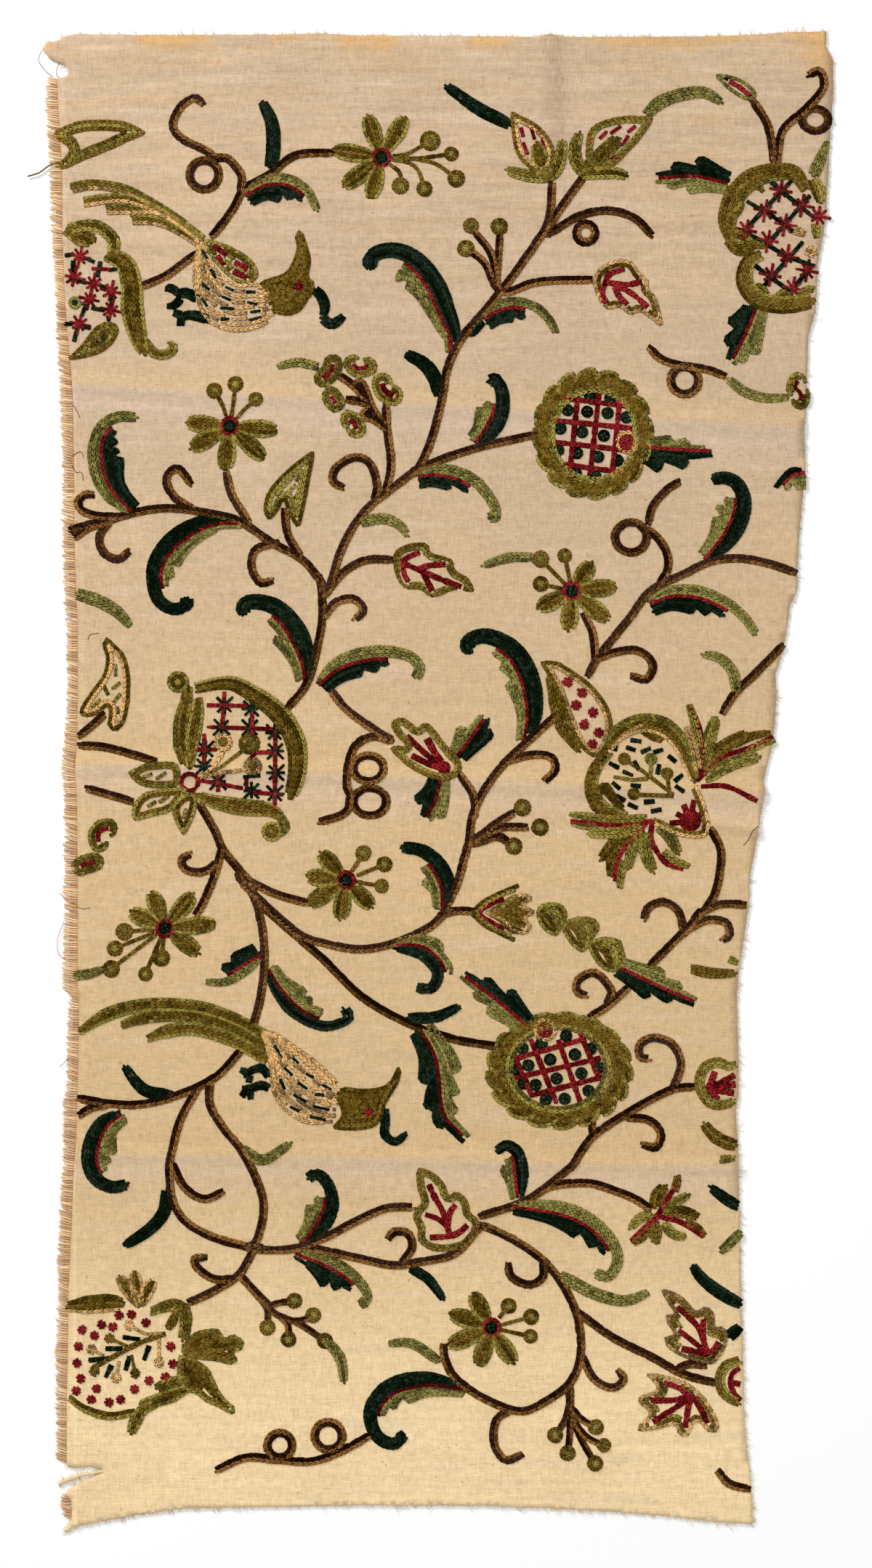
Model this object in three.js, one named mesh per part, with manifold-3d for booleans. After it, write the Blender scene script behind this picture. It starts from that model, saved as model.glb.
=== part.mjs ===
// A cut length of cream twill, worked with crewel wool, lying face up on a flat surface.
// The cloth is one sheet with its real outline: three cut edges, a torn corner, a torn tab
// with a shred in the tear, and the soft creases of old folds. Its left side is the loom's
// selvedge, where loops of weft stand out as a short fringe.
//
// Millimetres. Places on the cloth are given as across, from a line left of the cloth, and
// down, from a line above it. X runs across, Y runs up the cloth and Z out of its face. The
// origin is the middle of the whole piece, on the surface that it lies on.

import * as THREE from "three";
import { mergeVertices } from "three/addons/utils/BufferGeometryUtils.js";
import Module from "manifold-3d";

// The driving sizes.
const CLOTH_THICKNESS = 1.4;
const FRINGE_THICKNESS = 1.0;
const FRINGE_PITCH = 4.0;
const FRINGE_STRIP = 2.0;
const PIECE_GAP = 0.3;
const OUTLINE_STEP = 9.0;
const RAGGEDNESS = 0.35;

// The left side: the selvedge line, and how far out its fringe reaches.
const SELVEDGE = [
  { down: 54, across: 39.5, fringe: 32.0 },
  { down: 71, across: 39.9, fringe: 31.4 },
  { down: 95, across: 41.0, fringe: 32.4 },
  { down: 115, across: 42.9, fringe: 33.5 },
  { down: 161, across: 42.9, fringe: 35.5 },
  { down: 200, across: 44.5, fringe: 37.5 },
  { down: 227, across: 46.2, fringe: 38.8 },
  { down: 254, across: 48.9, fringe: 40.2 },
  { down: 274, across: 50.2, fringe: 41.5 },
  { down: 320, across: 50.9, fringe: 42.8 },
  { down: 388, across: 51.5, fringe: 43.3 },
  { down: 427, across: 53.5, fringe: 45.4 },
  { down: 480, across: 53.5, fringe: 46.2 },
  { down: 507, across: 53.2, fringe: 44.8 },
  { down: 532, across: 51.5, fringe: 41.8 },
  { down: 548, across: 52.9, fringe: 44.2 },
  { down: 600, across: 53.5, fringe: 44.2 },
  { down: 640, across: 53.5, fringe: 43.5 },
  { down: 682, across: 53.4, fringe: 42.9 },
  { down: 688, across: 54.4, fringe: 48.0 },
  { down: 707, across: 54.4, fringe: 46.3 },
  { down: 747, across: 53.5, fringe: 46.2 },
  { down: 757, across: 53.2, fringe: 43.4 },
  { down: 788, across: 52.2, fringe: 43.9 },
  { down: 813, across: 50.2, fringe: 42.4 },
  { down: 840, across: 49.5, fringe: 41.2 },
  { down: 867, across: 48.2, fringe: 39.7 },
  { down: 894, across: 46.9, fringe: 40.2 },
  { down: 925, across: 46.9, fringe: 38.2 },
  { down: 965, across: 46.0, fringe: 38.7 },
  { down: 1009, across: 45.9, fringe: 39.0 },
];

// The short stretch of selvedge on the torn tab.
const TAB_SELVEDGE = [
  { down: 1031, across: 48.6, fringe: 42.6 },
  { down: 1038, across: 49.4, fringe: 41.3 },
  { down: 1046, across: 49.2, fringe: 43.6 },
];

// The torn corner at the top left, from the selvedge up to the top edge. A rolled strip
// reaches out past a hole that opens to the side.
const TORN_CORNER = [
  { across: 43.2, down: 53.6 },
  { across: 47.4, down: 51.6 },
  { across: 46.8, down: 46.2 },
  { across: 41.6, down: 43.8 },
  { across: 35.2, down: 41.4 },
  { across: 29.4, down: 34.6 },
  { across: 32.4, down: 28.8 },
  { across: 37.6, down: 28.7 },
  { across: 44.4, down: 25.2 },
  { across: 52.0, down: 23.4 },
];

const TOP_EDGE = [
  { across: 95, down: 24.2 },
  { across: 190, down: 24.0 },
  { across: 221, down: 23.0 },
  { across: 244, down: 24.5 },
  { across: 344, down: 24.8 },
  { across: 368, down: 25.6 },
  { across: 378, down: 23.4 },
  { across: 389, down: 25.3 },
  { across: 484, down: 25.0 },
  { across: 520, down: 23.9 },
  { across: 545, down: 22.2 },
];

const RIGHT_EDGE = [
  { across: 568.5, down: 21.5 },
  { across: 568.2, down: 32.0 },
  { across: 573.3, down: 42.0 },
  { across: 573.5, down: 63.0 },
  { across: 571.0, down: 96.0 },
  { across: 568.0, down: 151.5 },
  { across: 562.5, down: 183.0 },
  { across: 561.0, down: 214.0 },
  { across: 556.2, down: 231.0 },
  { across: 554.6, down: 284.0 },
  { across: 553.2, down: 298.0 },
  { across: 554.0, down: 324.0 },
  { across: 549.6, down: 375.0 },
  { across: 548.2, down: 396.0 },
  { across: 549.2, down: 404.0 },
  { across: 543.5, down: 417.0 },
  { across: 540.0, down: 442.0 },
  { across: 533.6, down: 464.0 },
  { across: 534.4, down: 479.0 },
  { across: 531.6, down: 512.0 },
  { across: 525.2, down: 538.5 },
  { across: 526.6, down: 544.5 },
  { across: 520.4, down: 580.0 },
  { across: 515.8, down: 604.0 },
  { across: 515.2, down: 625.0 },
  { across: 509.2, down: 664.0 },
  { across: 507.0, down: 686.0 },
  { across: 508.4, down: 730.0 },
  { across: 508.2, down: 754.0 },
  { across: 506.2, down: 764.0 },
  { across: 508.0, down: 796.0 },
  { across: 509.6, down: 870.0 },
  { across: 511.2, down: 930.0 },
  { across: 512.5, down: 982.0 },
  { across: 517.0, down: 1023.0 },
  { across: 518.2, down: 1049.5 },
];

const BOTTOM_EDGE = [
  { across: 492.0, down: 1047.6 },
  { across: 450.0, down: 1043.2 },
  { across: 408.0, down: 1040.0 },
  { across: 330.0, down: 1036.4 },
  { across: 250.0, down: 1036.2 },
  { across: 166.0, down: 1037.8 },
  { across: 127.5, down: 1038.6 },
  { across: 89.0, down: 1043.8 },
  { across: 66.0, down: 1048.2 },
  { across: 52.0, down: 1051.0 },
  { across: 45.6, down: 1055.3 },
  { across: 43.6, down: 1053.4 },
];

// The tear above the tab: its lower lip, the shred that hangs in it, and its upper lip.
const TEAR = [
  { across: 43.0, down: 1029.4 },
  { across: 56.0, down: 1019.8 },
  { across: 69.0, down: 1014.8 },
  { across: 72.6, down: 1013.6 },
  { across: 56.0, down: 1016.6 },
  { across: 40.4, down: 1022.8 },
  { across: 41.6, down: 1019.2 },
  { across: 54.0, down: 1014.8 },
  { across: 71.6, down: 1011.6 },
  { across: 61.2, down: 1009.8 },
  { across: 51.0, down: 1011.0 },
];

// Old fold lines and puckers, each a soft ridge along a straight line.
const CREASES = [
  { name: "upper_fold", across: [20, 590], down: [263, 297], height: 1.2, halfWidth: 9 },
  { name: "middle_fold", across: [20, 590], down: [524, 549], height: 1.7, halfWidth: 11 },
  { name: "lower_fold", across: [20, 590], down: [793, 805], height: 1.1, halfWidth: 9 },
  { name: "top_pucker", across: [379, 381], down: [10, 104], height: 1.6, halfWidth: 8 },
  { name: "edge_pucker", across: [462, 548], down: [560, 577], height: 2.0, halfWidth: 7 },
];
const CREASE_FADE = 24;

// The sheet is modelled on a grid of these columns, and of rows that lean with the folds.
const SHEET = { left: 20, right: 590 };
const COLUMNS = [20, 60, 110, 160, 210, 260, 310, 350, 373, 377, 381, 385, 389, 420, 450]
  .concat([465, 480, 495, 510, 525, 545, 570, 590]);
const PLAIN_ROWS = [
  { left: 10, right: 10 },
  { left: 40, right: 42 },
  { left: 70, right: 74 },
  { left: 92, right: 97 },
  { left: 106, right: 112 },
  { left: 180, right: 190 },
  { left: 390, right: 415 },
  { left: 645, right: 660 },
  { left: 860, right: 868 },
  { left: 950, right: 955 },
  { left: 1070, right: 1070 },
];
const RIDGE_STEPS = [-1, -0.6, -0.25, 0, 0.25, 0.6, 1];

const COLOURS = { cloth: 0xe2cba6, fringe: 0xd9bb92 };
const TWILL = { roughness: 0.95, metalness: 0 };

const wasm = await Module();
wasm.setup();

const mix = (a, b, t) => a + (b - a) * t;
const point = (across, down) => new THREE.Vector2(across, -down);

// A closed mesh as a solid that can be cut.
function solidOf(geometry) {
  const bare = new THREE.BufferGeometry();
  const apart = geometry.index ? geometry.toNonIndexed() : geometry;
  bare.setAttribute("position", apart.getAttribute("position"));
  const merged = mergeVertices(bare, 1e-4);
  return new wasm.Manifold(new wasm.Mesh({
    numProp: 3,
    vertProperties: merged.attributes.position.array,
    triVerts: new Uint32Array(merged.index.array),
  }));
}

function geometryOf(solid) {
  const mesh = solid.getMesh();
  const geometry = new THREE.BufferGeometry();
  geometry.setAttribute("position", new THREE.BufferAttribute(mesh.vertProperties, 3));
  geometry.setIndex(new THREE.BufferAttribute(mesh.triVerts, 1));
  geometry.computeVertexNormals();
  return geometry;
}

// The value of one column of a selvedge table at a place down the cloth.
function along(table, down, column) {
  const next = Math.max(1, table.findIndex((row) => row.down >= down));
  const low = table[next - 1];
  const high = table[next];
  const share = Math.min(1, Math.max(0, (down - low.down) / (high.down - low.down)));
  return mix(low[column], high[column], share);
}

// A slow wander and a quick one, always the same for the same place.
function wander(place) {
  return 0.6 * Math.sin(place * 0.71) + 0.4 * Math.sin(place * 1.93 + 1.1);
}

// A run of an edge with a point every few millimetres, each a little off the line, as
// threads come away from a cut edge.
function ragged(run) {
  const points = [];
  run.slice(1).forEach((end, i) => {
    const start = run[i];
    const reach = Math.hypot(end.across - start.across, end.down - start.down);
    const steps = Math.max(1, Math.round(reach / OUTLINE_STEP));
    for (let k = 0; k < steps; k += 1) {
      const t = k / steps;
      const across = mix(start.across, end.across, t);
      const down = mix(start.down, end.down, t);
      const off = k ? RAGGEDNESS * wander(across + down) : 0;
      const sideways = { across: (end.down - start.down) / reach, down: (start.across - end.across) / reach };
      points.push(point(across + off * sideways.across, down + off * sideways.down));
    }
  });
  return points;
}

// The cloth's outline: cut and torn edges are ragged, and the two selvedges are plain.
function clothOutline() {
  const plain = (table) => [...table].reverse().map((row) => point(row.across, row.down));
  const cut = [...TORN_CORNER, ...TOP_EDGE, ...RIGHT_EDGE, ...BOTTOM_EDGE, TAB_SELVEDGE.at(-1)];
  const torn = [TAB_SELVEDGE[0], ...TEAR, SELVEDGE.at(-1)];
  const corner = [SELVEDGE[0], TORN_CORNER[0]];
  return [
    ...ragged(cut),
    ...plain(TAB_SELVEDGE).slice(0, -1),
    ...ragged(torn),
    ...plain(SELVEDGE).slice(0, -1),
    ...ragged(corner),
  ].reverse();
}

// How far a place on the cloth stands off the surface: the sum of the ridges there. A
// ridge is a raised cosine across its line, and fades out at both ends.
function lift(across, down) {
  return CREASES.reduce((sum, crease) => {
    const start = point(crease.across[0], crease.down[0]);
    const line = point(crease.across[1], crease.down[1]).sub(start);
    const reach = line.length();
    const from = point(across, down).sub(start);
    const at = from.dot(line) / reach;
    const aside = Math.abs(from.cross(line)) / reach;
    if (aside >= crease.halfWidth || at <= 0 || at >= reach) return sum;
    const fade = Math.min(1, at / CREASE_FADE, (reach - at) / CREASE_FADE);
    return sum + crease.height * fade * (1 + Math.cos((Math.PI * aside) / crease.halfWidth)) / 2;
  }, 0);
}

// The grid's rows: plain ones, and a set that follows each ridge across the whole cloth.
function sheetRows() {
  const ridges = CREASES.filter((c) => c.across[1] - c.across[0] > 50).flatMap((crease) => {
    const slope = (crease.down[1] - crease.down[0]) / (crease.across[1] - crease.across[0]);
    const whole = crease.across[0] === SHEET.left;
    const left = whole ? crease.down[0] : crease.down[0] + 7;
    const right = whole ? crease.down[1] : left + slope * (SHEET.right - SHEET.left);
    return RIDGE_STEPS.map((s) => ({ left: left + s * crease.halfWidth, right: right + s * crease.halfWidth }));
  });
  return [...PLAIN_ROWS, ...ridges].sort((a, b) => a.left + a.right - b.left - b.right)
    .filter((row, i, rows) => !i || (row.left - rows[i - 1].left > 0.5 && row.right - rows[i - 1].right > 0.5));
}

// The whole sheet before it is cut: an upper and a lower skin over the grid, both lifted
// by the ridges, and the walls that close them.
function creasedSlab() {
  const rows = sheetRows();
  const wide = COLUMNS.length;
  const positions = [];
  for (const level of [0, CLOTH_THICKNESS]) {
    for (const row of rows) {
      for (const across of COLUMNS) {
        const down = mix(row.left, row.right, (across - SHEET.left) / (SHEET.right - SHEET.left));
        positions.push(across, -down, level + lift(across, down));
      }
    }
  }
  const layer = rows.length * wide;
  const faces = [];
  const quad = (a, b, c, d) => faces.push(a, b, c, a, c, d);
  for (let j = 0; j < rows.length - 1; j += 1) {
    for (let i = 0; i < wide - 1; i += 1) {
      const corner = j * wide + i;
      quad(corner, corner + 1, corner + wide + 1, corner + wide);
      quad(layer + corner, layer + corner + wide, layer + corner + wide + 1, layer + corner + 1);
    }
  }
  const rim = [];
  for (let i = 0; i < wide - 1; i += 1) rim.push(i);
  for (let j = 0; j < rows.length - 1; j += 1) rim.push(j * wide + wide - 1);
  for (let i = wide - 1; i > 0; i -= 1) rim.push((rows.length - 1) * wide + i);
  for (let j = rows.length - 1; j > 0; j -= 1) rim.push(j * wide);
  rim.forEach((a, k) => {
    const b = rim[(k + 1) % rim.length];
    quad(b, a, a + layer, b + layer);
  });
  const geometry = new THREE.BufferGeometry();
  geometry.setAttribute("position", new THREE.Float32BufferAttribute(positions, 3));
  geometry.setIndex(faces);
  return geometry;
}

function groundCloth() {
  const clear = 5;
  const cutter = new THREE.ExtrudeGeometry(new THREE.Shape(clothOutline()), {
    depth: CLOTH_THICKNESS + 3 * clear,
    bevelEnabled: false,
  });
  cutter.translate(0, 0, -clear);
  const geometry = geometryOf(solidOf(creasedSlab()).intersect(solidOf(cutter)));
  const cloth = new THREE.Mesh(geometry, new THREE.MeshStandardMaterial({ color: COLOURS.cloth, ...TWILL }));
  cloth.name = "ground_cloth";
  return cloth;
}

// A fringe of weft loops: a narrow strip beside the selvedge, with a lock every pitch. The
// locks lean a little one way and then the other, and their tips are uneven.
function fringe(name, table, first, last) {
  const inner = (down) => along(table, down, "across") - PIECE_GAP;
  const stops = table.map((row) => row.down).filter((down) => down > first && down < last);
  const outline = [last, ...stops.reverse(), first].map((down) => point(inner(down), down));
  const locks = Math.floor((last - first) / FRINGE_PITCH);
  const pitch = (last - first) / locks;
  for (let k = 0; k < locks; k += 1) {
    const start = first + k * pitch;
    const middle = start + pitch / 2;
    const lean = 0.3 * pitch * Math.sin(k * 0.37);
    const tip = along(table, middle, "fringe") + 0.7 * wander(k * 2.3);
    const root = (down) => inner(down) - FRINGE_STRIP;
    outline.push(point(root(start), start));
    outline.push(point(root(start + 0.2 * pitch), start + 0.2 * pitch));
    outline.push(point(tip, middle - 0.24 * pitch + lean));
    outline.push(point(tip + 0.3, middle + 0.24 * pitch + lean));
    outline.push(point(root(start + 0.8 * pitch), start + 0.8 * pitch));
  }
  outline.push(point(inner(last) - FRINGE_STRIP, last));
  const geometry = new THREE.ExtrudeGeometry(new THREE.Shape(outline), {
    depth: FRINGE_THICKNESS,
    bevelEnabled: false,
  });
  const locksMesh = new THREE.Mesh(
    geometry,
    new THREE.MeshStandardMaterial({ color: COLOURS.fringe, ...TWILL }),
  );
  locksMesh.name = name;
  return locksMesh;
}

const panel = new THREE.Group();
panel.add(
  groundCloth(),
  fringe("selvedge_fringe", SELVEDGE, 54.6, 1008.4),
  fringe("tab_fringe", TAB_SELVEDGE, 1031.4, 1045.6),
);

// The origin goes to the middle of the piece, on the surface that it lies on.
const box = new THREE.Box3().setFromObject(panel);
const middle = box.getCenter(new THREE.Vector3());
panel.position.set(-middle.x, -middle.y, -box.min.z);

export default panel;
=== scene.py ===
"""A cut length of cream twill worked with crewel wool, lying face up.

The looks of the piece: the creased, stained ground cloth, its fringe of weft loops, its frayed cut
edges, its loose threads, and every row of chain stitch in eight wools.

A place on the cloth is given in layout units of half a millimetre, across from a line left of the
cloth and down from a line above it. Heights are in metres above the surface that the piece lies on.
"""

import math

import bpy
import numpy as np
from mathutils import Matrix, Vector, geometry


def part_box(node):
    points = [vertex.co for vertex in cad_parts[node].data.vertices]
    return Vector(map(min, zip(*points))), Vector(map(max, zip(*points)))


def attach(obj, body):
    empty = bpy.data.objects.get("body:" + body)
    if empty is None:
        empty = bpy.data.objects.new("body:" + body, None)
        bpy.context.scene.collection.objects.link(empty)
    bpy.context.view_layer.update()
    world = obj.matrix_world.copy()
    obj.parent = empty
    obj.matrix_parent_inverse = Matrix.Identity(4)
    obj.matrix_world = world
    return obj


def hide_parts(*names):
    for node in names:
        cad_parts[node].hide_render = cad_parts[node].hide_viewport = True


bl_info = {
    "name": "Crewel embroidery panel",
    "version": (1, 0, 0),
    "blender": (4, 5, 0),
    "location": "View3D > Sidebar > Crewel",
    "description": "Works a cut length of twill with rows of crewel wool",
    "category": "Object",
}

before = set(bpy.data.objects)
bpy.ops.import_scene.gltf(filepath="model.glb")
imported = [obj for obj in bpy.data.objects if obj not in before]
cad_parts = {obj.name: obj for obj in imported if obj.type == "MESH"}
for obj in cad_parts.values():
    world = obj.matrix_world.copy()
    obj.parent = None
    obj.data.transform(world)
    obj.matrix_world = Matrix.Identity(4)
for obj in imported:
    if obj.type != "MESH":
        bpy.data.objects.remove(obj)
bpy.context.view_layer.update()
CLOTH_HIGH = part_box("ground_cloth")[1]

UNIT = 0.0005
RIGHTMOST_ACROSS = 1147.0
TOPMOST_DOWN = 43.0
PHOTO_WIDTH, PHOTO_HEIGHT = 1200.0, 2159.0
CLOTH_THICKNESS = 0.0014
FRINGE_THICKNESS = 0.0010

# Old fold lines and puckers, each a soft ridge along a straight line: the two ends, how high
# the ridge stands in metres, and how far it reaches to each side.
CREASES = (
    ((40, 526), (1180, 594), 0.0012, 18),
    ((40, 1048), (1180, 1098), 0.0017, 22),
    ((40, 1586), (1180, 1610), 0.0011, 18),
    ((758, 20), (762, 208), 0.0016, 16),
    ((924, 1120), (1096, 1154), 0.0020, 14),
)
CREASE_FADE = 48.0

WOOLS = {
    "deep_green": (0.0036, 0.0125, 0.0036),
    "sage": (0.203, 0.176, 0.044),
    "olive": (0.140, 0.083, 0.007),
    "leaf_green": (0.235, 0.188, 0.034),
    "bark": (0.034, 0.009, 0.0025),
    "tan": (0.200, 0.088, 0.018),
    "madder": (0.200, 0.006, 0.008),
    "sand": (0.500, 0.305, 0.118),
}
WOOL_SLOTS = {
    "deep_green": "wool_dark_green",
    "sage": "wool_sage",
    "olive": "wool_olive",
    "leaf_green": "wool_light_olive",
    "bark": "wool_brown",
    "tan": "wool_tan",
    "madder": "wool_red",
    "sand": "wool_sand",
}
MOST_LINKS_A_PIECE = 4000


class CrewelSizes(bpy.types.PropertyGroup):
    """The sizes of the stitches and of the cloth's finish."""

    link: bpy.props.FloatProperty(
        name="Link length", description="Distance from one chain link to the next",
        default=7.3 * UNIT, min=0.001, max=0.008, unit="LENGTH", precision=4)
    strand: bpy.props.FloatProperty(
        name="Strand radius", description="Half the thickness of one strand of wool",
        default=0.00070, min=0.0001, max=0.002, unit="LENGTH", precision=5)
    relief: bpy.props.FloatProperty(
        name="Strand height", description="How far the middle of a strand stands above the cloth",
        default=0.00055, min=0.0, max=0.003, unit="LENGTH", precision=5)
    weave: bpy.props.FloatProperty(
        name="Twill pitch", description="Distance from one rib of the twill to the next",
        default=0.0011, min=0.0002, max=0.01, unit="LENGTH", precision=5)


class CrewelColours(bpy.types.PropertyGroup):
    """The colours of the cloth."""

    upper_cloth: bpy.props.FloatVectorProperty(
        name="Upper cloth", description="Colour of the twill near the top edge",
        default=(0.556, 0.405, 0.264), size=3, min=0.0, max=1.0, subtype="COLOR")
    lower_cloth: bpy.props.FloatVectorProperty(
        name="Lower cloth", description="Colour of the twill near the bottom edge",
        default=(0.640, 0.450, 0.244), size=3, min=0.0, max=1.0, subtype="COLOR")
    stain: bpy.props.FloatVectorProperty(
        name="Stain", description="Colour of the old golden stains",
        default=(0.640, 0.360, 0.120), size=3, min=0.0, max=1.0, subtype="COLOR")
    fringe: bpy.props.FloatVectorProperty(
        name="Fringe", description="Colour of the loops of weft at the selvedge",
        default=(0.900, 0.640, 0.370), size=3, min=0.0, max=1.0, subtype="COLOR")


# Places and curves


def pairs(*numbers):
    """Places from plain numbers, across and down in turn."""
    return np.array(numbers, float).reshape(-1, 2)


def strokes(*numbers):
    """Short straight lines, each from four numbers: its start and its end."""
    return np.array(numbers, float).reshape(-1, 2, 2)


def metres(places):
    """The places in metres: across and down from the layout's corner become X and Y in the frame."""
    places = np.asarray(places, float)
    x = CLOTH_HIGH.x + (places[..., 0] - RIGHTMOST_ACROSS) * UNIT
    y = CLOTH_HIGH.y - (places[..., 1] - TOPMOST_DOWN) * UNIT
    return np.stack([x, y], -1)


def layout(points):
    """The layout places of points given as X and Y in metres: the reverse of metres()."""
    points = np.asarray(points, float)
    across = (points[..., 0] - CLOTH_HIGH.x) / UNIT + RIGHTMOST_ACROSS
    down = (CLOTH_HIGH.y - points[..., 1]) / UNIT + TOPMOST_DOWN
    return np.stack([across, down], -1)


def even(curve, step=1.5):
    """The same line with points at equal steps along its length."""
    reach = np.concatenate([[0], np.cumsum(np.hypot(*np.diff(curve, axis=0).T))])
    count = max(2, int(round(reach[-1] / step)) + 1)
    at = np.linspace(0, reach[-1], count)
    return np.stack([np.interp(at, reach, curve[:, k]) for k in (0, 1)], 1)


def smooth(points, closed=False):
    """An even curve through the points: between each two it is the cubic that leaves the first
    along the line from its neighbour before to the second, and meets the second likewise."""
    p = pairs(*points)
    if closed:
        p = np.vstack([p[-1], p, p[0], p[1]])
    else:
        p = np.vstack([2 * p[0] - p[1], p, 2 * p[-1] - p[-2]])
    t = np.linspace(0, 1, 16, endpoint=False)[:, None]
    a, b, c, d = (p[k : len(p) - 3 + k, None] for k in range(4))
    curve = b + 0.5 * t * (c - a + t * (2 * a - 5 * b + 4 * c - d + t * (3 * (b - c) + d - a)))
    return even(np.vstack([curve.reshape(-1, 2), p[-2]]))


def heading(curve):
    """The unit direction of the line at each of its points."""
    along = np.gradient(curve, axis=0)
    return along / np.maximum(1e-9, np.hypot(*along.T))[:, None]


def beside(curve, offset):
    """The line moved sideways by the offset at each point: a positive offset is to the right of
    one who walks along it."""
    tangent = heading(curve)
    normal = np.stack([-tangent[:, 1], tangent[:, 0]], 1)
    return curve + normal * np.broadcast_to(offset, len(curve))[:, None]


def share(curve):
    """How far along the line each point is, from 0 to 1."""
    return np.linspace(0, 1, len(curve))


def circle(centre, radius, start=0.0, turns=1.0, squeeze=1.0):
    """An arc: the centre plus the radius times the cosine and sine of the angle."""
    angle = math.radians(start) + np.linspace(0, 2 * math.pi * turns, max(8, int(radius * 5 * abs(turns))))
    return np.stack([centre[0] + radius * np.cos(angle), centre[1] + radius * squeeze * np.sin(angle)], 1)


# Rows of wool

ROW = 5.3
STEM_ROW = 6.3
LIGHT_EDGED = ("leaf_green", "olive", "leaf_green")
DARK_EDGED = ("olive", "leaf_green", "olive")
ONE_LIGHT_EDGE = ("leaf_green", "olive", "olive")
LIGHT_DARK = ("leaf_green", "olive")
DARK_LIGHT = ("olive", "leaf_green")
branches = []
rows = {wool: [] for wool in WOOLS}


def row(wool, line, width=ROW):
    """One row of chain stitch along the line, in that wool, as wide as given at each point."""
    line = np.asarray(line, float)
    if len(line) >= 2:
        rows[wool].append((line, np.broadcast_to(width, len(line)).astype(float)))


def kept(wool, line, keep, width=ROW):
    """The row's stretches where keep is true."""
    keep = np.broadcast_to(keep, len(line))
    width = np.broadcast_to(width, len(line))
    edges = np.flatnonzero(np.diff(np.concatenate([[False], keep, [False]]).astype(int)))
    for first, last in zip(edges[::2], edges[1::2]):
        if last - first > 2:
            row(wool, line[first:last], width[first:last])


def straight(wool, *places, width=ROW):
    """A row that goes straight from place to place."""
    row(wool, even(pairs(*places)), width)


def band(wools, spine, low, high, foot=0.0, tip=0.0, lean=0):
    """Rows side by side from one offset of the spine to another: the room between the offsets is
    shared out evenly, so the rows fan out and close up with it. With more than one wool, the
    first is for the row at the low side, the last for the row at the high side, and the ones
    between are for the rows inside. Over a length of foot and of tip the rows close up, and the
    outer ones stop short, so that an end is round; with a lean of 1 only the high side closes in
    and only the low side stops short."""
    low, high = (np.broadcast_to(edge, len(spine)).astype(float) for edge in (low, high))
    room = np.abs(high - low)
    count = max(1, int(round(room.max() / ROW)))
    if isinstance(wools, str):
        wools = (wools,)
    gone = np.arange(len(spine)) * 1.5
    close = np.ones(len(spine))
    for reach, left in ((foot, gone), (tip, gone[-1] - gone)):
        if reach:
            close *= 0.3 + 0.7 * np.sqrt(1 - (1 - np.clip(left / reach, 0, 1)) ** 2)
    centre = low if lean else (low + high) / 2
    low, high = centre + (low - centre) * close, centre + (high - centre) * close
    wide = room * close / count
    for k in range(count):
        part = 2 * (k + 0.5) / count - 1
        short = 0.6 * ((1 - part) / 2 if lean else part * part)
        keep = (gone >= foot * short) & (gone[-1] - gone >= tip * short)
        keep &= (wide > 0.42 * ROW) | (abs(part) < 0.4)
        pick = int(round(k * (len(wools) - 1) / max(1, count - 1)))
        if len(wools) == 3:
            pick = 0 if k == 0 else 2 if k == count - 1 else 1
        line = beside(spine, low + (high - low) * (k + 0.5) / count)
        kept(wools[pick], line, keep, np.clip(wide * 1.1, 0.7 * ROW, 1.3 * ROW))


def both_sides(wools, spine, half, foot=0.0, tip=0.0):
    """Rows that fill a shape as wide as given on each side of its spine."""
    half = np.broadcast_to(half, len(spine)).astype(float)
    band(wools, spine, -half, half, foot, tip)


def leaf(wools, left, right, *points):
    """A filled shape round a curved spine: how far it reaches to the left and to the right is
    given at even shares of the spine's length."""
    spine = smooth(points)
    s = share(spine)
    reach = [np.interp(s, np.linspace(0, 1, len(table)), table) for table in (left, right)]
    end = 0.5 * (left[-1] + right[-1])
    band(wools, spine, -reach[0], reach[1], tip=1.4 * end)


def plump(wools, reach, *points):
    """A leaf that reaches as far to its left as to its right."""
    leaf(wools, reach, reach, *points)


def apart(line, marks, room):
    """Whether each place on a line keeps clear of the marks, by the room given."""
    clear = np.ones(len(line), bool)
    for ends in marks:
        points = even(np.array(ends))
        clear &= np.hypot(*(line[:, None] - points[None]).transpose(2, 0, 1)).min(1) > room
    return clear


def nested(wools, outline, deepest=99.0, step=0.94, marks=()):
    """Closed rows inside an outline, each a step inside the last. A row's place is the outline
    stepped inwards, kept where it is no nearer to any part of the outline than that, and where
    it leaves room for the marks."""
    line = smooth(outline, closed=True)
    x, y = line.T
    turn = np.sign(np.sum(x * np.roll(y, -1) - y * np.roll(x, -1)))
    for k, depth in enumerate(np.arange(ROW / 2, deepest, ROW * step)):
        moved = beside(line, turn * depth)
        gaps = np.hypot(*(moved[:, None] - line[None]).transpose(2, 0, 1)).min(1)
        keep = gaps > depth - 0.5
        if not keep.any():
            break
        keep &= apart(moved, marks, 4.2)
        kept(wools[min(k, len(wools) - 1)], moved, keep, ROW * 1.06)


def disc(wools, centre, radius):
    """A filled round of rows, from its rim to its middle."""
    count = max(1, int(round(radius / ROW)))
    wide = radius / count
    for k in range(count):
        r = radius - (k + 0.5) * wide
        wool = wools[min(k, len(wools) - 1)]
        row(wool, circle(centre, max(r, 1.6), start=40 * k), wide * 1.1)
        if r < 3.0:
            straight(wool, (centre[0] - 2, centre[1]), (centre[0] + 2, centre[1]), width=wide)


def vine(*points, dark=0, width=1.0):
    """A stem or tendril, drawn with the others by grown_stems."""
    branches.append((list(pairs(*points)), dark, width))


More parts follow.
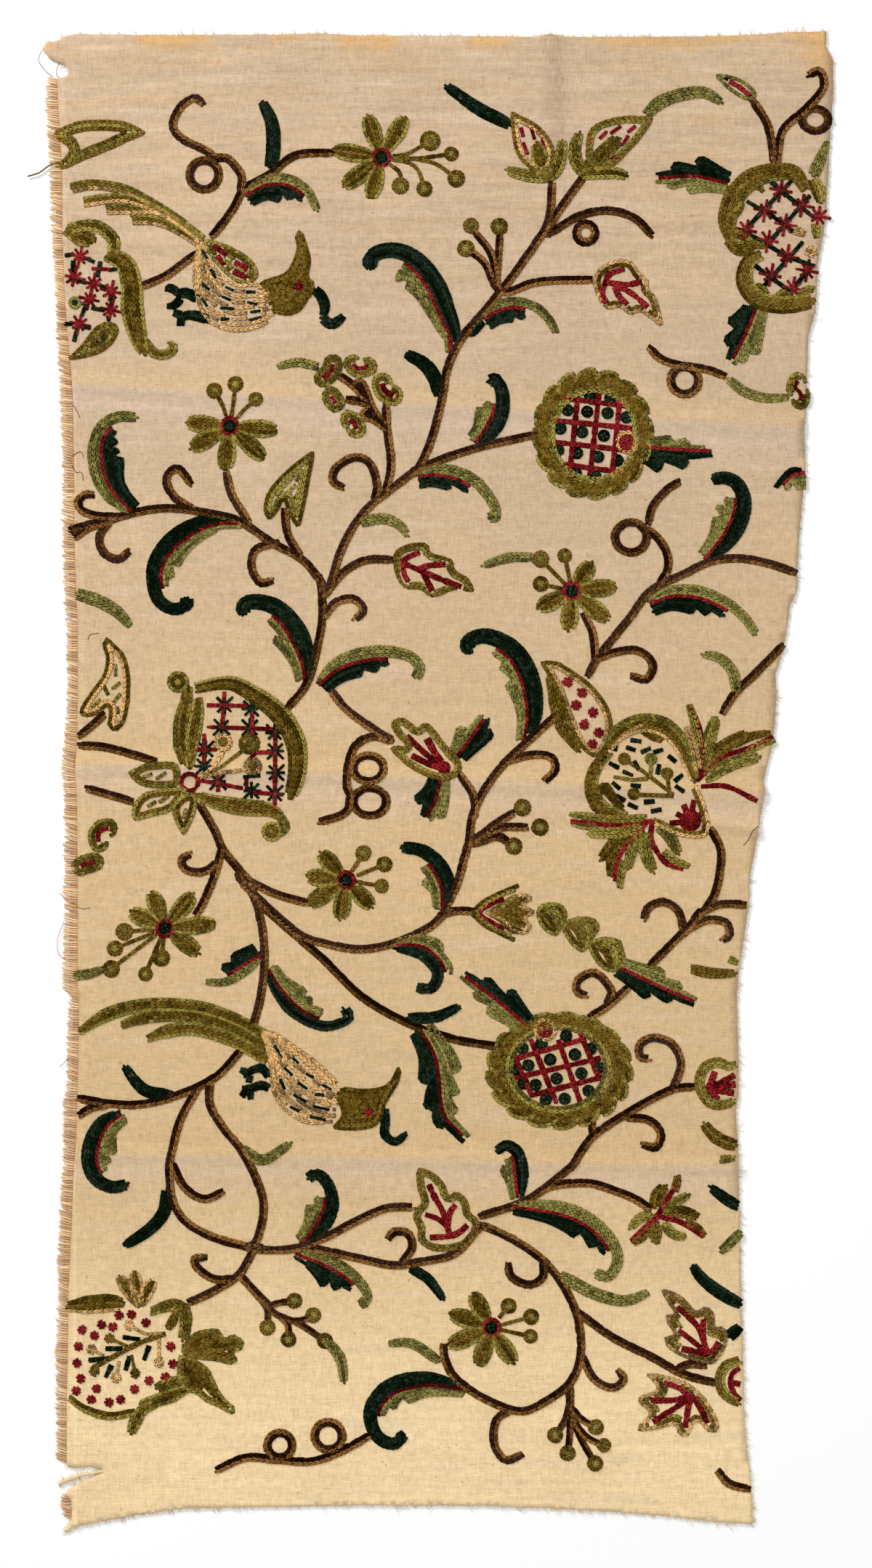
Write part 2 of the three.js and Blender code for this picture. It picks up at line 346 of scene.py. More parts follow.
def grown_stems():
    """All the stems. An end that stops close to another stem runs on to the middle of it, and
    rather forwards than sideways."""
    lines = [smooth(points) for points, _, _ in branches]
    for k, (points, dark, width) in enumerate(branches):
        others = np.concatenate([line[10:-10] for j, line in enumerate(lines) if j != k])
        for end, before in ((0, lines[k][4]), (-1, lines[k][-5])):
            tip = lines[k][end]
            away = others - tip
            gaps = np.hypot(*away.T)
            ahead = (tip - before) / np.hypot(*(tip - before))
            score = np.where(gaps < 17, gaps - 0.6 * (away @ ahead), 99)
            best = score.argmin()
            if score[best] < 99 and gaps.min() > 2:
                points = points + [others[best]] if end else [others[best]] + points
        two_rows(smooth(points), dark, width)


def two_rows(line, dark, width):
    """A stem of two rows, the dark wool on its upper left side unless told otherwise. Both rows
    thin out at the ends."""
    if not dark:
        first = heading(line)[: max(2, int(0.6 * len(line)))].mean(0)
        dark = 1 if first[1] - first[0] * 1.4 > 0 else -1
    gone = np.arange(len(line)) * 1.5
    ends = np.interp(np.minimum(gone, gone[-1] - gone), [0, 6], [0.62, 1.0])
    wide = STEM_ROW * width * ends
    kept("bark", beside(line, dark * 0.44 * wide), gone <= gone[-1] - 1.5, 1.04 * wide)
    kept("tan", beside(line, -dark * 0.48 * wide), gone >= 1.5, 0.96 * wide)


def loop(centre, radius, squeeze=1.0, dark=-1):
    """A ring in a tendril: the dark row inside and the tan row outside, or the other way round."""
    inner, outer = ("bark", "tan") if dark < 0 else ("tan", "bark")
    row(inner, circle(centre, radius - 0.5 * STEM_ROW, start=15, squeeze=squeeze), STEM_ROW)
    row(outer, circle(centre, radius + 0.45 * STEM_ROW, squeeze=squeeze), STEM_ROW)


def bar(wool, width, *points):
    """A plain curved leaf that starts at its broad foot and narrows a little to a round tip."""
    spine = smooth(points)
    half = width / 2 * np.interp(share(spine), [0, 0.15, 0.5, 0.85, 1.0], [0.8, 1.0, 1.0, 0.82, 0.6])
    both_sides(wool, spine, half, foot=0.15 * width, tip=0.5 * width)


def saw(wool, spine, near, side, teeth, first):
    """A band whose edge is cut into teeth. Each tooth ends at a share of the spine's length and
    at a height there, and its outer rows run on past that. The next one starts below it, from a
    little under half its height."""
    s = share(spine)
    begin, low = 0.0, first
    for end, height in pairs(*teeth):
        over = min(0.75 * height, 9.0)
        last = min(1.0, end + over / (1.5 * len(spine)))
        part = np.flatnonzero((s >= begin) & (s <= last))
        if len(part) > 4:
            rise = np.clip((s[part] - begin) / (end - begin), 0, 1)
            reach = 1.15 * (low + (height - low) * rise**1.3)
            reach *= np.interp(s[part], [end, last + 1e-6], [1.0, 0.92])
            start = side * near[part]
            band(wool, spine[part], start, start + side * reach, tip=over, lean=1)
        begin, low = end, 0.45 * height


SWELL = (0.3, 0.78, 1.0, 1.0, 0.95, 0.88, 0.8)


def frond(main, other, width, side, teeth, *points, first=6.0, club=0.0):
    """A curled leaf: a smooth band along the spine, a red row along its hollow side, and a
    second band beyond that whose edge is cut into teeth that point towards the tip."""
    spine = smooth(points)
    s = share(spine)
    half = width / 2 * np.interp(s, np.linspace(0, 1, len(SWELL)), SWELL)
    left = (1 - s) * len(spine) * 1.5
    if club:
        bulb = np.sqrt(np.clip(club**2 - (left - club) ** 2, (0.7 * club) ** 2, None))
        half = np.where(left < 2 * club, np.maximum(half * 0.9, bulb), half)
    edge = half - 0.1 * ROW
    saw(other, spine, edge + 0.8 * ROW, side, teeth, first)
    kept("madder", beside(spine, side * (edge + 0.45 * ROW)), s < teeth[-2] + 0.02, 1.1 * ROW)
    both_sides(main, spine, half, tip=0.9 * club if club else 0.5 * width)


def veined_leaf(left, right, *points, above, below):
    """A leaf with a red vein: the wool on its left and the wool on its right each fill a side
    whose edge is cut into teeth."""
    spine = smooth(points)
    near = np.full(len(spine), 0.4 * ROW)
    saw(left, spine, near, -1, above, 0.55 * above[1])
    saw(right, spine, near, 1, below, 0.55 * below[1])
    kept("madder", spine, share(spine) < 0.95, 1.15 * ROW)


def petal(base, tip, width):
    """A petal: light rows round its edge and olive rows inside."""
    spine = even(np.array([base, tip]))
    s = share(spine)
    half = width / 2 * np.interp(s, [0, 0.2, 0.55, 0.8, 1.0], [0.45, 0.78, 1.0, 0.86, 0.46])
    both_sides(LIGHT_EDGED, spine, half, tip=0.2 * width)


def berry(centre, radius, *stalk):
    """A round berry, with its stalk where one is given from the berry back to the stem."""
    if stalk:
        row("olive", smooth((centre, *stalk)), 1.1 * ROW)
    disc(DARK_EDGED, centre, radius)


def flower(centre, tips, width=26):
    """A daisy: its petals, and a red ring round a dark green eye."""
    c = np.array(centre, float)
    for tip in pairs(*tips):
        away = (tip - c) / np.hypot(*(tip - c))
        petal(c + away * 11, tip + away * 2, width)
    row("madder", circle(centre, 11.5), 1.1 * ROW)
    disc(("deep_green",), centre, 8.5)


def bean(width, *points):
    """A kidney-shaped bud: rings of olive round a red core."""
    spine = smooth(points)
    trim = min(int(width / 4), len(spine) // 2 - 3)
    spine = spine[trim: len(spine) - trim]
    turn = np.linspace(0, math.pi, 7)[1:-1, None]
    outline = []
    for side, at, way in ((1, -1, 1), (-1, 0, -1)):
        edge = beside(spine, side * width / 2)
        outline.append(edge[:: side][2:-2:4])
        ahead = (spine[at] - spine[at - way * 3]) if at else (spine[0] - spine[3])
        ahead = ahead / np.hypot(*ahead)
        aside = (edge[at] - spine[at]) / (width / 2)
        outline.append(spine[at] + (np.cos(turn) * aside + np.sin(turn) * ahead) * width / 2)
    nested(LIGHT_DARK, np.concatenate(outline), 1.9 * ROW)
    row("madder", spine, np.clip(width - 4 * ROW, ROW, 2 * ROW))


def star(wool, centre, radius, arms=8, turn=0.0):
    """A star of straight stitches that cross at its middle."""
    for k in range(arms // 2):
        angle = math.radians(turn + 360 / arms * k)
        reach = radius * (1.0 if k % 2 == 0 else 0.8)
        across, down = reach * math.cos(angle), reach * math.sin(angle)
        ends = ((centre[0] - across, centre[1] - down), (centre[0] + across, centre[1] + down))
        straight(wool, *ends, width=4.2)


def dot(wool, centre, radius):
    """A padded dot."""
    disc((wool,), centre, radius)


def dashes(wool, *numbers, width=ROW):
    """Short straight stitches, each from four numbers."""
    for line in strokes(*numbers):
        row(wool, even(line), width)



# The layout: stems first, then what grows on them


def stems():
    """Every stem, tendril and ring."""
    vine(281,145, 268,135, 249,147, 238,171, 249,190, 281,206, 297,217, 314,219, 332,241, 331,262)
    loop((281, 241), 20)
    vine(459,210, 407,214, 370,241, 337,260, 321,287, 300,316, 289,327)
    vine(271,348, 250,364, 228,380, 193,395)
    vine(1035,137, 1057,174, 1066,222)
    vine(1111,104, 1128,98, 1133,121, 1108,151, 1077,180, 1069,222)
    loop((1122, 165), 18, squeeze=0.85, dark=1)
    vine(760,249, 755,303, 736,337, 701,386, 680,412)
    vine(805,241, 785,268, 768,292, 756,310)
    vine(758,320, 796,298, 836,290, 872,300, 898,325)
    loop((806, 321), 13, dark=1)
    vine(701,402, 742,388, 816,385)
    vine(680,413, 637,464, 616,507, 608,550, 594,604, 575,646)
    vine(575,646, 535,676, 511,695, 487,724, 468,762, 452,812)
    vine(575,646, 629,625, 675,612, 739,598)
    vine(452,812, 475,786, 505,771, 541,771)
    vine(514,692, 519,668, 509,638, 487,630, 463,644, 458,662, 474,673)
    vine(530,679, 538,641, 533,593, 531,556)
    vine(530,585, 514,565, 498,528)
    vine(502,548, 485,530, 466,516)
    vine(508,556, 490,552, 474,550)
    vine(530,590, 515,578, 500,572)
    vine(311,649, 319,681, 340,716)
    vine(99,729, 150,716, 198,703, 241,700, 295,708, 332,719, 375,748, 415,770, 442,802)
    vine(102,742, 120,728, 150,718)
    vine(265,700, 244,688, 230,668, 232,652, 246,646, 264,668)
    vine(170,712, 132,710, 112,702, 108,690, 118,681, 130,682)
    vine(150,720, 137,738, 142,760, 162,770, 180,757)
    vine(380,748, 352,757, 346,780, 358,802, 376,799)
    vine(391,700, 396,735, 412,764)
    vine(893,478, 909,494, 935,503, 973,509, 1000,519)
    loop((942, 524), 19)
    vine(937,662, 917,675, 898,698, 892,722)
    loop((868, 740), 22, squeeze=0.95)
    vine(891,728, 908,744, 919,766, 918,786, 906,806)
    vine(1097,789, 1057,776, 1018,769, 979,773, 942,790, 895,814, 867,850, 824,904, 808,932)
    vine(802,842, 816,873, 819,907)
    vine(820,908, 847,898, 878,896, 898,914, 890,935, 867,930)
    vine(1078,888, 1041,926, 1012,954, 993,984)
    vine(977,1139, 992,1172, 988,1215, 979,1240, 959,1265, 934,1290, 893,1331)
    vine(866,1358, 840,1382, 810,1402)
    vine(441,800, 444,840, 439,880, 423,939, 394,977)
    vine(447,848, 463,829, 487,825, 500,840, 487,854)
    vine(455,950, 474,974, 509,1001, 541,1020)
    vine(538,1020, 514,1014, 490,1026, 480,1050, 477,1080, 482,1098, 474,1120, 438,1132)
    loop((507, 1058), 21, squeeze=0.85)
    loop((509, 1104), 23, squeeze=0.82)
    vine(632,1065, 651,1095, 653,1122)
    vine(768,982, 734,1014, 696,1049, 669,1084, 651,1121, 645,1159, 637,1188, 629,1218, 612,1255)
    vine(696,1049, 728,1040, 757,1042, 764,1060, 747,1077)
    vine(656,1154, 680,1136, 708,1118)
    vine(656,1156, 690,1140, 728,1139)
    vine(658,1160, 685,1152, 702,1162)
    vine(345,1215, 380,1231, 425,1244)
    vine(108,1026, 150,1030, 217,1049)
    vine(118,1085, 150,1094, 185,1105)
    vine(145,982, 128,998, 108,1014)
    vine(273,1105, 295,1143, 305,1167, 321,1188, 348,1218)
    vine(305,1167, 297,1200, 281,1240, 268,1262)
    vine(300,1186, 281,1200, 257,1198, 250,1184, 264,1175)
    vine(329,1208, 346,1227, 359,1267, 364,1320, 359,1371, 348,1414)
    vine(340,1222, 407,1283, 447,1299, 495,1307, 541,1299, 589,1278, 612,1258)
    vine(612,1258, 632,1254, 652,1255)
    vine(352,1240, 407,1288, 447,1323, 500,1374, 562,1409, 621,1430, 691,1442)
    vine(963,1256, 945,1281, 934,1290)
    vine(940,1281, 934,1256, 914,1242, 892,1250, 886,1267)
    vine(945,1281, 973,1267, 998,1270, 1004,1287, 993,1295)
    vine(965,1256, 993,1245, 1029,1246)
    vine(836,1380, 841,1363, 819,1340, 796,1349, 794,1365, 808,1371)
    vine(813,1534, 816,1565)
    vine(788,1604, 813,1568, 853,1539, 920,1502, 958,1496)
    vine(928,1495, 937,1464, 925,1438, 900,1429, 881,1438, 881,1455, 895,1458)
    vine(867,1539, 892,1542, 909,1559, 903,1579, 883,1576)
    vine(332,1446, 295,1484, 236,1511, 187,1521, 147,1519, 107,1512)
    vine(147,1521, 125,1526, 107,1537)
    vine(273,1497, 249,1540, 236,1588, 233,1613, 238,1654, 257,1683, 295,1704, 351,1719)
    vine(289,1492, 289,1521, 308,1554, 335,1588, 359,1640, 362,1675, 351,1712)
    vine(238,1605, 254,1635, 281,1651, 308,1640)
    vine(351,1720, 329,1755, 295,1777, 257,1795)
    vine(321,1761, 295,1761, 273,1747, 268,1734, 284,1731)
    vine(332,1758, 354,1782, 372,1800)
    vine(351,1720, 400,1720, 447,1704, 487,1683, 530,1664, 570,1662)
    vine(400,1720, 434,1720, 487,1731, 541,1742, 581,1737, 626,1726, 661,1690)
    vine(554,1737, 567,1718, 562,1699, 543,1696, 533,1707)
    vine(659,1675, 701,1662, 728,1651, 755,1632, 788,1604)
    vine(742,1640, 766,1632, 810,1629, 850,1641, 874,1651, 896,1665)
    vine(661,1688, 701,1704, 736,1726, 760,1749, 782,1782, 796,1819, 799,1866, 785,1903, 755,1927, 717,1943,
        669,1927, 629,1900, 613,1873, 610,1849)
    vine(747,1734, 747,1758, 728,1769, 704,1758, 699,1739)
    vine(511,1975, 474,1996, 430,2012, 380,2010, 339,2007, 296,2025)
    loop((452, 1977), 19)
    loop((385, 1990), 17)
    vine(701,1943, 683,1956, 680,1988, 696,2010, 720,2002)
    vine(796,1808, 844,1842, 900,1870, 940,1892, 988,1905)
    vine(932,1885, 950,1878, 972,1881)
    vine(802,1869, 816,1897, 841,1911, 858,1900, 850,1886)
    vine(784,1906, 785,1942, 790,1962)
    vine(986,2023, 1004,2043, 1032,2051)


def plain_leaves():
    """The plain curved leaves of one wool, each from its foot to its tip."""
    for wool, width, *points in (
        ("deep_green", 20, 372,232, 376,205, 374,170, 360,138),
        ("deep_green", 18, 702,172, 684,163, 656,148, 612,117),
        ("sage", 18, 889,158, 910,140, 940,130, 970,128, 994,142),
        ("deep_green", 20, 606,546, 598,520, 582,500, 556,486),
        ("sage", 15, 496,720, 525,714, 548,722, 562,738),
        ("sage", 13, 440,506, 410,499, 382,505),
        ("sage", 14, 1002,522, 1026,540, 1054,548, 1086,547),
        ("sage", 14, 732,767, 700,768, 664,779),
        ("sage", 15, 1014,955, 1008,925, 990,906, 966,901),
        ("sage", 18, 105,817, 139,829, 164,845, 180,863),
        ("sage", 14, 100,1343, 122,1341, 143,1334),
        ("deep_green", 16, 562,1402, 600,1400, 634,1385),
        ("olive", 15, 951,1334, 980,1340, 1014,1340),
        ("sage", 15, 335,1582, 362,1597, 400,1574),
        ("deep_green", 17, 238,1509, 198,1500, 170,1467),
        ("deep_green", 18, 230,1637, 225,1670, 204,1694, 170,1716),
        ("sage", 15, 450,1847, 468,1870, 474,1905),
        ("deep_green", 14, 564,1746, 589,1761, 611,1790),
        ("sage", 14, 604,1874, 567,1850, 533,1850),
        ("sage", 17, 772,1756, 816,1780, 858,1791, 894,1779),
        ("deep_green", 16, 1017,1662, 998,1650, 977,1634),
        ("sage", 14, 1019,1697, 1006,1710, 990,1725),
        ("deep_green", 18, 1019,1796, 985,1776, 964,1758, 952,1740),
        ("deep_green", 17, 1003,1840, 1020,1826),
        ("olive", 18, 1013,1577, 992,1570, 975,1556, 968,1545),
        ("leaf_green", 10, 1002,1320, 1016,1326),
    ):
        bar(wool, width, *points)


def fronds():
    """The curled, toothed leaves, each from its foot to its curled tip, and the straight ones."""
    dark, pale = ("deep_green", "sage"), ("sage", "deep_green")
    frond(*pale, 14, 1, (0.42,21, 0.62,15, 0.78,8), 336,266, 362,248, 394,246, 422,262, 437,290, first=14)
    frond(*dark, 24, -1, (0.52,20, 0.66,23), 626,484, 627,460, 615,425, 600,390, 576,360, 550,346, 526,346,
        510,356, 512,372, club=11, first=6)
    frond(*pale, 13, 1, (0.32,17, 0.50,13), 664,436, 682,422, 705,415, 733,421, 754,438, 766,459, first=14)
    bar("deep_green", 14, 664,440, 648,462)
    frond(*dark, 20, -1, (0.42,20, 0.56,12), 656,614, 676,597, 690,570, 691,542, 683,524, 670,527, club=10,
        first=12)
    frond(*pale, 16, 1, (0.30,15, 0.52,9), 575,652, 600,646, 630,650, 658,666, 678,692, 682,708, 671,714,
        club=9, first=13)
    frond(*pale, 17, 1, (0.44,26, 0.56,22, 0.66,17, 0.76,9), 178,708, 148,682, 133,652, 129,618, 140,588,
        162,574, 190,575, first=12)
    frond(*dark, 20, -1, (0.50,18, 0.63,15, 0.70,7), 332,716, 295,713, 254,729, 226,753, 211,785, 216,822,
        236,838, 255,834, 256,820, club=10, first=5)
    frond(*dark, 21, -1, (0.34,20, 0.50,22, 0.64,12), 974,772, 1001,748, 1018,720, 1024,692, 1016,668,
        998,658, 978,661, first=10)
    frond(*pale, 15, 1, (0.38,20, 0.52,17, 0.66,10), 892,828, 924,813, 962,814, 1000,830, 1026,852,
        1041,875, first=14)
    frond(*dark, 24, -1, (0.42,20, 0.62,9), 425,936, 424,905, 410,868, 386,840, 358,829, 336,832, 336,848,
        club=10, first=10)
    frond(*pale, 17, 1, (0.36,17, 0.50,15, 0.60,8), 436,940, 456,918, 485,903, 528,897, 562,903, 578,920,
        570,934, club=8, first=14)
    frond(*dark, 24, -1, (0.40,19, 0.56,16, 0.70,8), 726,1022, 737,980, 730,932, 707,894, 670,876, 643,884,
        648,900, club=10, first=8)
    frond(*dark, 20, -1, (0.40,19, 0.60,10), 613,1252, 618,1222, 606,1192, 582,1172, 551,1166, first=10)
    frond(*pale, 12, 1, (0.36,18, 0.60,14), 362,1318, 336,1338, 310,1352, 284,1352, first=16)
    frond(*dark, 15, -1, (0.34,22, 0.46,18, 0.60,12), 366,1336, 380,1366, 407,1396, 447,1413, 480,1402,
        472,1388, club=8, first=10)
    frond(*dark, 17, -1, (0.40,16, 0.60,9), 543,1306, 580,1314, 602,1338, 594,1360, 572,1360, club=8,
        first=8)
    frond(*dark, 20, -1, (0.40,22, 0.56,16, 0.68,8), 165,1530, 137,1548, 122,1585, 128,1618, 152,1634,
        178,1630, first=10)
    frond(*dark, 18, -1, (0.40,20, 0.58,12), 418,1716, 442,1694, 457,1662, 452,1632, 436,1617, 422,1624,
        club=8, first=10)
    frond(*pale, 15, 1, (0.38,24, 0.54,20, 0.66,10), 408,1722, 440,1730, 470,1744, 494,1764, 506,1786,
        494,1798, club=8, first=5)
    frond(*dark, 17, -1, (0.42,16, 0.62,9), 717,1650, 719,1616, 713,1588, 697,1577, 682,1586, club=7,
        first=8)
    frond(*pale, 17, 1, (0.44,20, 0.60,17, 0.70,9), 706,1657, 760,1660, 802,1673, 836,1701, 850,1732,
        838,1757, 818,1753, club=8, first=8)
    frond(*dark, 20, -1, (0.36,17, 0.52,15, 0.64,8), 640,1908, 585,1897, 535,1909, 510,1942, 518,1976,
        542,1988, 558,1972, club=9, first=8)
    frond(*dark, 9, -1, (0.5,16, 0.8,7), 1108,648, 1088,649, 1067,671, first=18)
    for left, right, points, above, below in (
        ("sage", "deep_green", (878,614, 930,619, 983,621), (0.38,15, 0.60,13, 0.85,4),
         (0.28,28, 0.60,22, 1.0,5)),
        ("sage", "deep_green", (1040,426, 1026,460, 1006,499), (0.62,24, 0.85,14, 1.0,4),
         (0.35,26, 0.68,20, 1.0,6)),
        ("sage", "deep_green", (1001,253, 956,243, 902,246), (0.50,20, 0.78,13, 1.0,4),
         (0.40,24, 0.70,17, 1.0,5)),
        ("sage", "deep_green", (853,1332, 905,1357, 959,1381), (0.45,20, 0.70,14, 1.0,4),
         (0.40,20, 0.65,14, 1.0,4)),
        ("sage", "deep_green", (726,1414, 685,1378, 637,1342), (0.45,20, 0.70,14, 1.0,4),
         (0.40,22, 0.70,15, 1.0,4)),
        ("sage", "deep_green", (630,1040, 650,1014, 668,986), (0.45,20, 1.0,5), (0.70,20, 1.0,5)),
        ("sage", "deep_green", (579,1418, 597,1451, 604,1482, 606,1512, 614,1540, 642,1569),
         (0.36,27, 0.54,23, 0.72,17, 1.0,5), (0.42,24, 0.62,20, 0.76,15, 1.0,6)),
        ("sage", "deep_green", (606,1074, 600,1100, 586,1128), (0.72,18, 1.0,5), (0.62,24, 1.0,6)),
    ):
        veined_leaf(left, right, *points, above=above, below=below)


def outlined_leaf(wools, outline, deepest, *veins):
    """A leaf drawn by rows along its edge, with red veins on the bare ground inside."""
    lines = [pairs(*places) for places in veins]
    nested(wools, outline, deepest, marks=[ends for line in lines for ends in zip(line, line[1:])])
    for line in lines:
        row("madder", smooth(line), 1.6 * ROW)


def small_leaves():
    """The heart, ivy and vine leaves, outlined in rows and veined, the pod and the beans."""
    green, edge = DARK_EDGED, DARK_LIGHT
    outlined_leaf(green, (200,183, 176,169, 150,165, 113,166, 88,174, 72,184, 78,192, 94,203, 92,213,
        78,229, 91,232, 115,221, 150,207, 178,194), 17)
    straight("leaf_green", 104,212, 122,206, 134,200)
    outlined_leaf(edge, (431,622, 402,641, 380,662, 367,681, 363,703, 371,716, 384,702, 390,690, 397,708,
        411,726, 420,695, 427,657), 13)
    dashes("leaf_green", 396,678, 406,668, 402,690, 410,680, 408,662, 416,650)
    outlined_leaf(("olive", "sand"), (148,878, 158,887, 171,901, 178,923, 179,950, 177,974, 171,996,
        158,1007, 148,998, 150,985, 148,973, 134,984, 115,987, 110,977, 123,955, 141,929, 146,907, 141,888),
        11)
    for x, y, across, down in ((159, 923, 0, 7), (160, 944, 5, -4), (146, 951, 3, 6), (132, 969, 5, -5),
            (161, 961, 4, -5), (162, 978, 1, 4)):
        dashes("leaf_green", (x - across, y - down), (x + across, y + down))
    outlined_leaf(("sand", "olive"), (816,386, 826,368, 846,358, 862,358, 872,362, 880,374, 892,386,
        893,398, 904,412, 912,450, 896,440, 880,430, 868,434, 852,424, 842,426, 832,424, 822,408), 12,
        (832,392, 838,378, 860,370), (832,392, 828,404, 834,416), (834,389, 862,392, 882,388),
        (848,392, 872,406, 892,424), (846,394, 852,408, 862,418))
    outlined_leaf(edge, (541,773, 546,757, 567,748, 588,749, 594,761, 621,770, 627,785, 645,797, 651,815,
        628,812, 606,820, 592,822, 578,812, 560,811, 548,800), 12,
        (554,775, 560,768, 578,760), (554,775, 556,790, 562,801),
        (556,776, 584,788, 610,799, 635,808), (576,784, 590,779, 612,777),
        (580,786, 588,800, 594,812))
    outlined_leaf(edge, (579,1608, 573,1616, 575,1638, 580,1655, 571,1665, 569,1678, 575,1692, 575,1706,
        584,1717, 600,1723, 620,1723, 638,1718, 653,1706, 660,1690, 657,1677, 647,1669, 645,1657, 637,1645,
        626,1641, 618,1645, 611,1629, 597,1615), 12,
        (619,1702, 610,1670, 598,1648, 591,1633), (616,1688, 619,1670, 626,1660),
        (616,1688, 602,1678, 585,1672), (593,1704, 619,1702, 633,1696, 643,1687))
    edge = ("sand", "olive", "leaf_green")
    outlined_leaf(edge, (911,1777, 926,1778, 943,1789, 957,1804, 972,1799, 983,1809, 984,1826, 995,1827,
        1001,1838, 998,1856, 982,1877, 962,1876, 936,1867, 918,1854, 915,1841, 927,1837, 918,1822, 916,1811,
        928,1808, 920,1796), 14,
        (973,1863, 962,1830, 946,1812, 931,1799), (972,1860, 967,1838, 968,1819),
        (972,1862, 950,1844, 933,1831), (973,1864, 956,1861, 938,1857),
        (973,1864, 983,1858, 989,1848))
    outlined_leaf(edge, (890,1892, 912,1893, 942,1902, 963,1917, 978,1936, 989,1958, 987,1971, 974,1971,
        964,1960, 956,1960, 945,1979, 933,1973, 928,1962, 906,1968, 880,1970, 880,1962, 893,1946, 880,1932,
        881,1922, 904,1912), 14,
        (951,1923, 934,1911, 915,1904), (951,1923, 925,1928, 898,1928),
        (950,1924, 924,1942, 897,1959), (950,1925, 946,1944, 943,1966),
        (953,1922, 964,1940, 974,1960))
    edge = LIGHT_DARK
    plump(edge, (6, 7, 7, 7, 7, 6), 1018,1873, 1000,1880, 992,1892, 991,1905, 998,1920, 1018,1933)
    for points in ((1018,1884, 1008,1891, 1005,1904, 1010,1918, 1018,1927), (1006,1903, 1018,1906)):
        row("madder", smooth(points), 1.5 * ROW)
    plump(edge, (5, 7, 7, 7, 7, 7, 5), 1012,1466, 1002,1468, 988,1463, 972,1468, 963,1484, 966,1505,
        980,1520, 1000,1520, 1012,1514)
    for tip in pairs(984,1475, 1010,1481, 1011,1493, 1010,1505, 988,1513):
        row("madder", smooth(((975, 1498), ((975 + tip[0]) / 2, (1498 + tip[1]) / 2 + 1), tip)), 1.8 * ROW)
    bar("leaf_green", 11, 990,1597, 1012,1594)
    for width, wools, *points in (
        (19, "olive", 903,1664, 905,1646, 917,1631),
        (12, "olive", 928,1640, 932,1626, 932,1617),
        (14, "leaf_green", 912,1668, 928,1656, 948,1645),
        (14, "leaf_green", 898,1670, 880,1678, 867,1691),
        (13, "olive", 896,1690, 882,1704, 870,1712),
        (18, "olive", 905,1684, 902,1698, 903,1713),
        (14, "leaf_green", 914,1686, 928,1700, 946,1703),
        (17, "olive", 914,1668, 936,1668, 963,1676),
        (10, "olive", 944,1683, 960,1690, 971,1703),
    ):
        bar(wools, width, *points)
    for points in ((905,1674, 917,1653, 933,1628), (905,1674, 890,1688, 870,1708),
            (905,1674, 935,1682, 967,1701)):
        row("madder", smooth(points), 1.6 * ROW)
    nested(("sage",), (984,104, 1000,103, 1020,109, 1036,121, 1041,133, 1030,139, 1012,131, 996,118), 5)
    straight("madder", 1003,112, 1018,120, 1032,132, width=7)
    dashes("deep_green", 997,107, 1002,110)
    outlined_leaf(("olive", "sand"), (744,912, 762,910, 777,916, 811,940, 834,968, 843,997, 838,1024,
        824,1042, 808,1038, 792,1018, 778,985, 766,952, 754,930), 9)
    leaf("olive", (0, 0, 0, 0), (6, 17, 18, 10), 756,928, 770,960, 782,998, 802,1032)
    for place in pairs(781,939, 801,954, 793,971, 816,981, 804,998, 824,1009, 815,1025):
        dot("madder", place, 7.5)
    for width, *points in (
        (27, 457,492, 456,510, 438,526),
        (27, 481,494, 493,507, 514,502),
        (30, 526,518, 529,537, 549,549),
        (28, 451,537, 458,549, 467,563),
        (28, 472,575, 487,582, 492,600),
        (28, 158,1138, 136,1146, 138,1170),
        (27, 103,1197, 118,1190, 138,1185),
        (26, 1104,519, 1094,532, 1102,543, 1099,560),
    ):
        bean(width, *points)


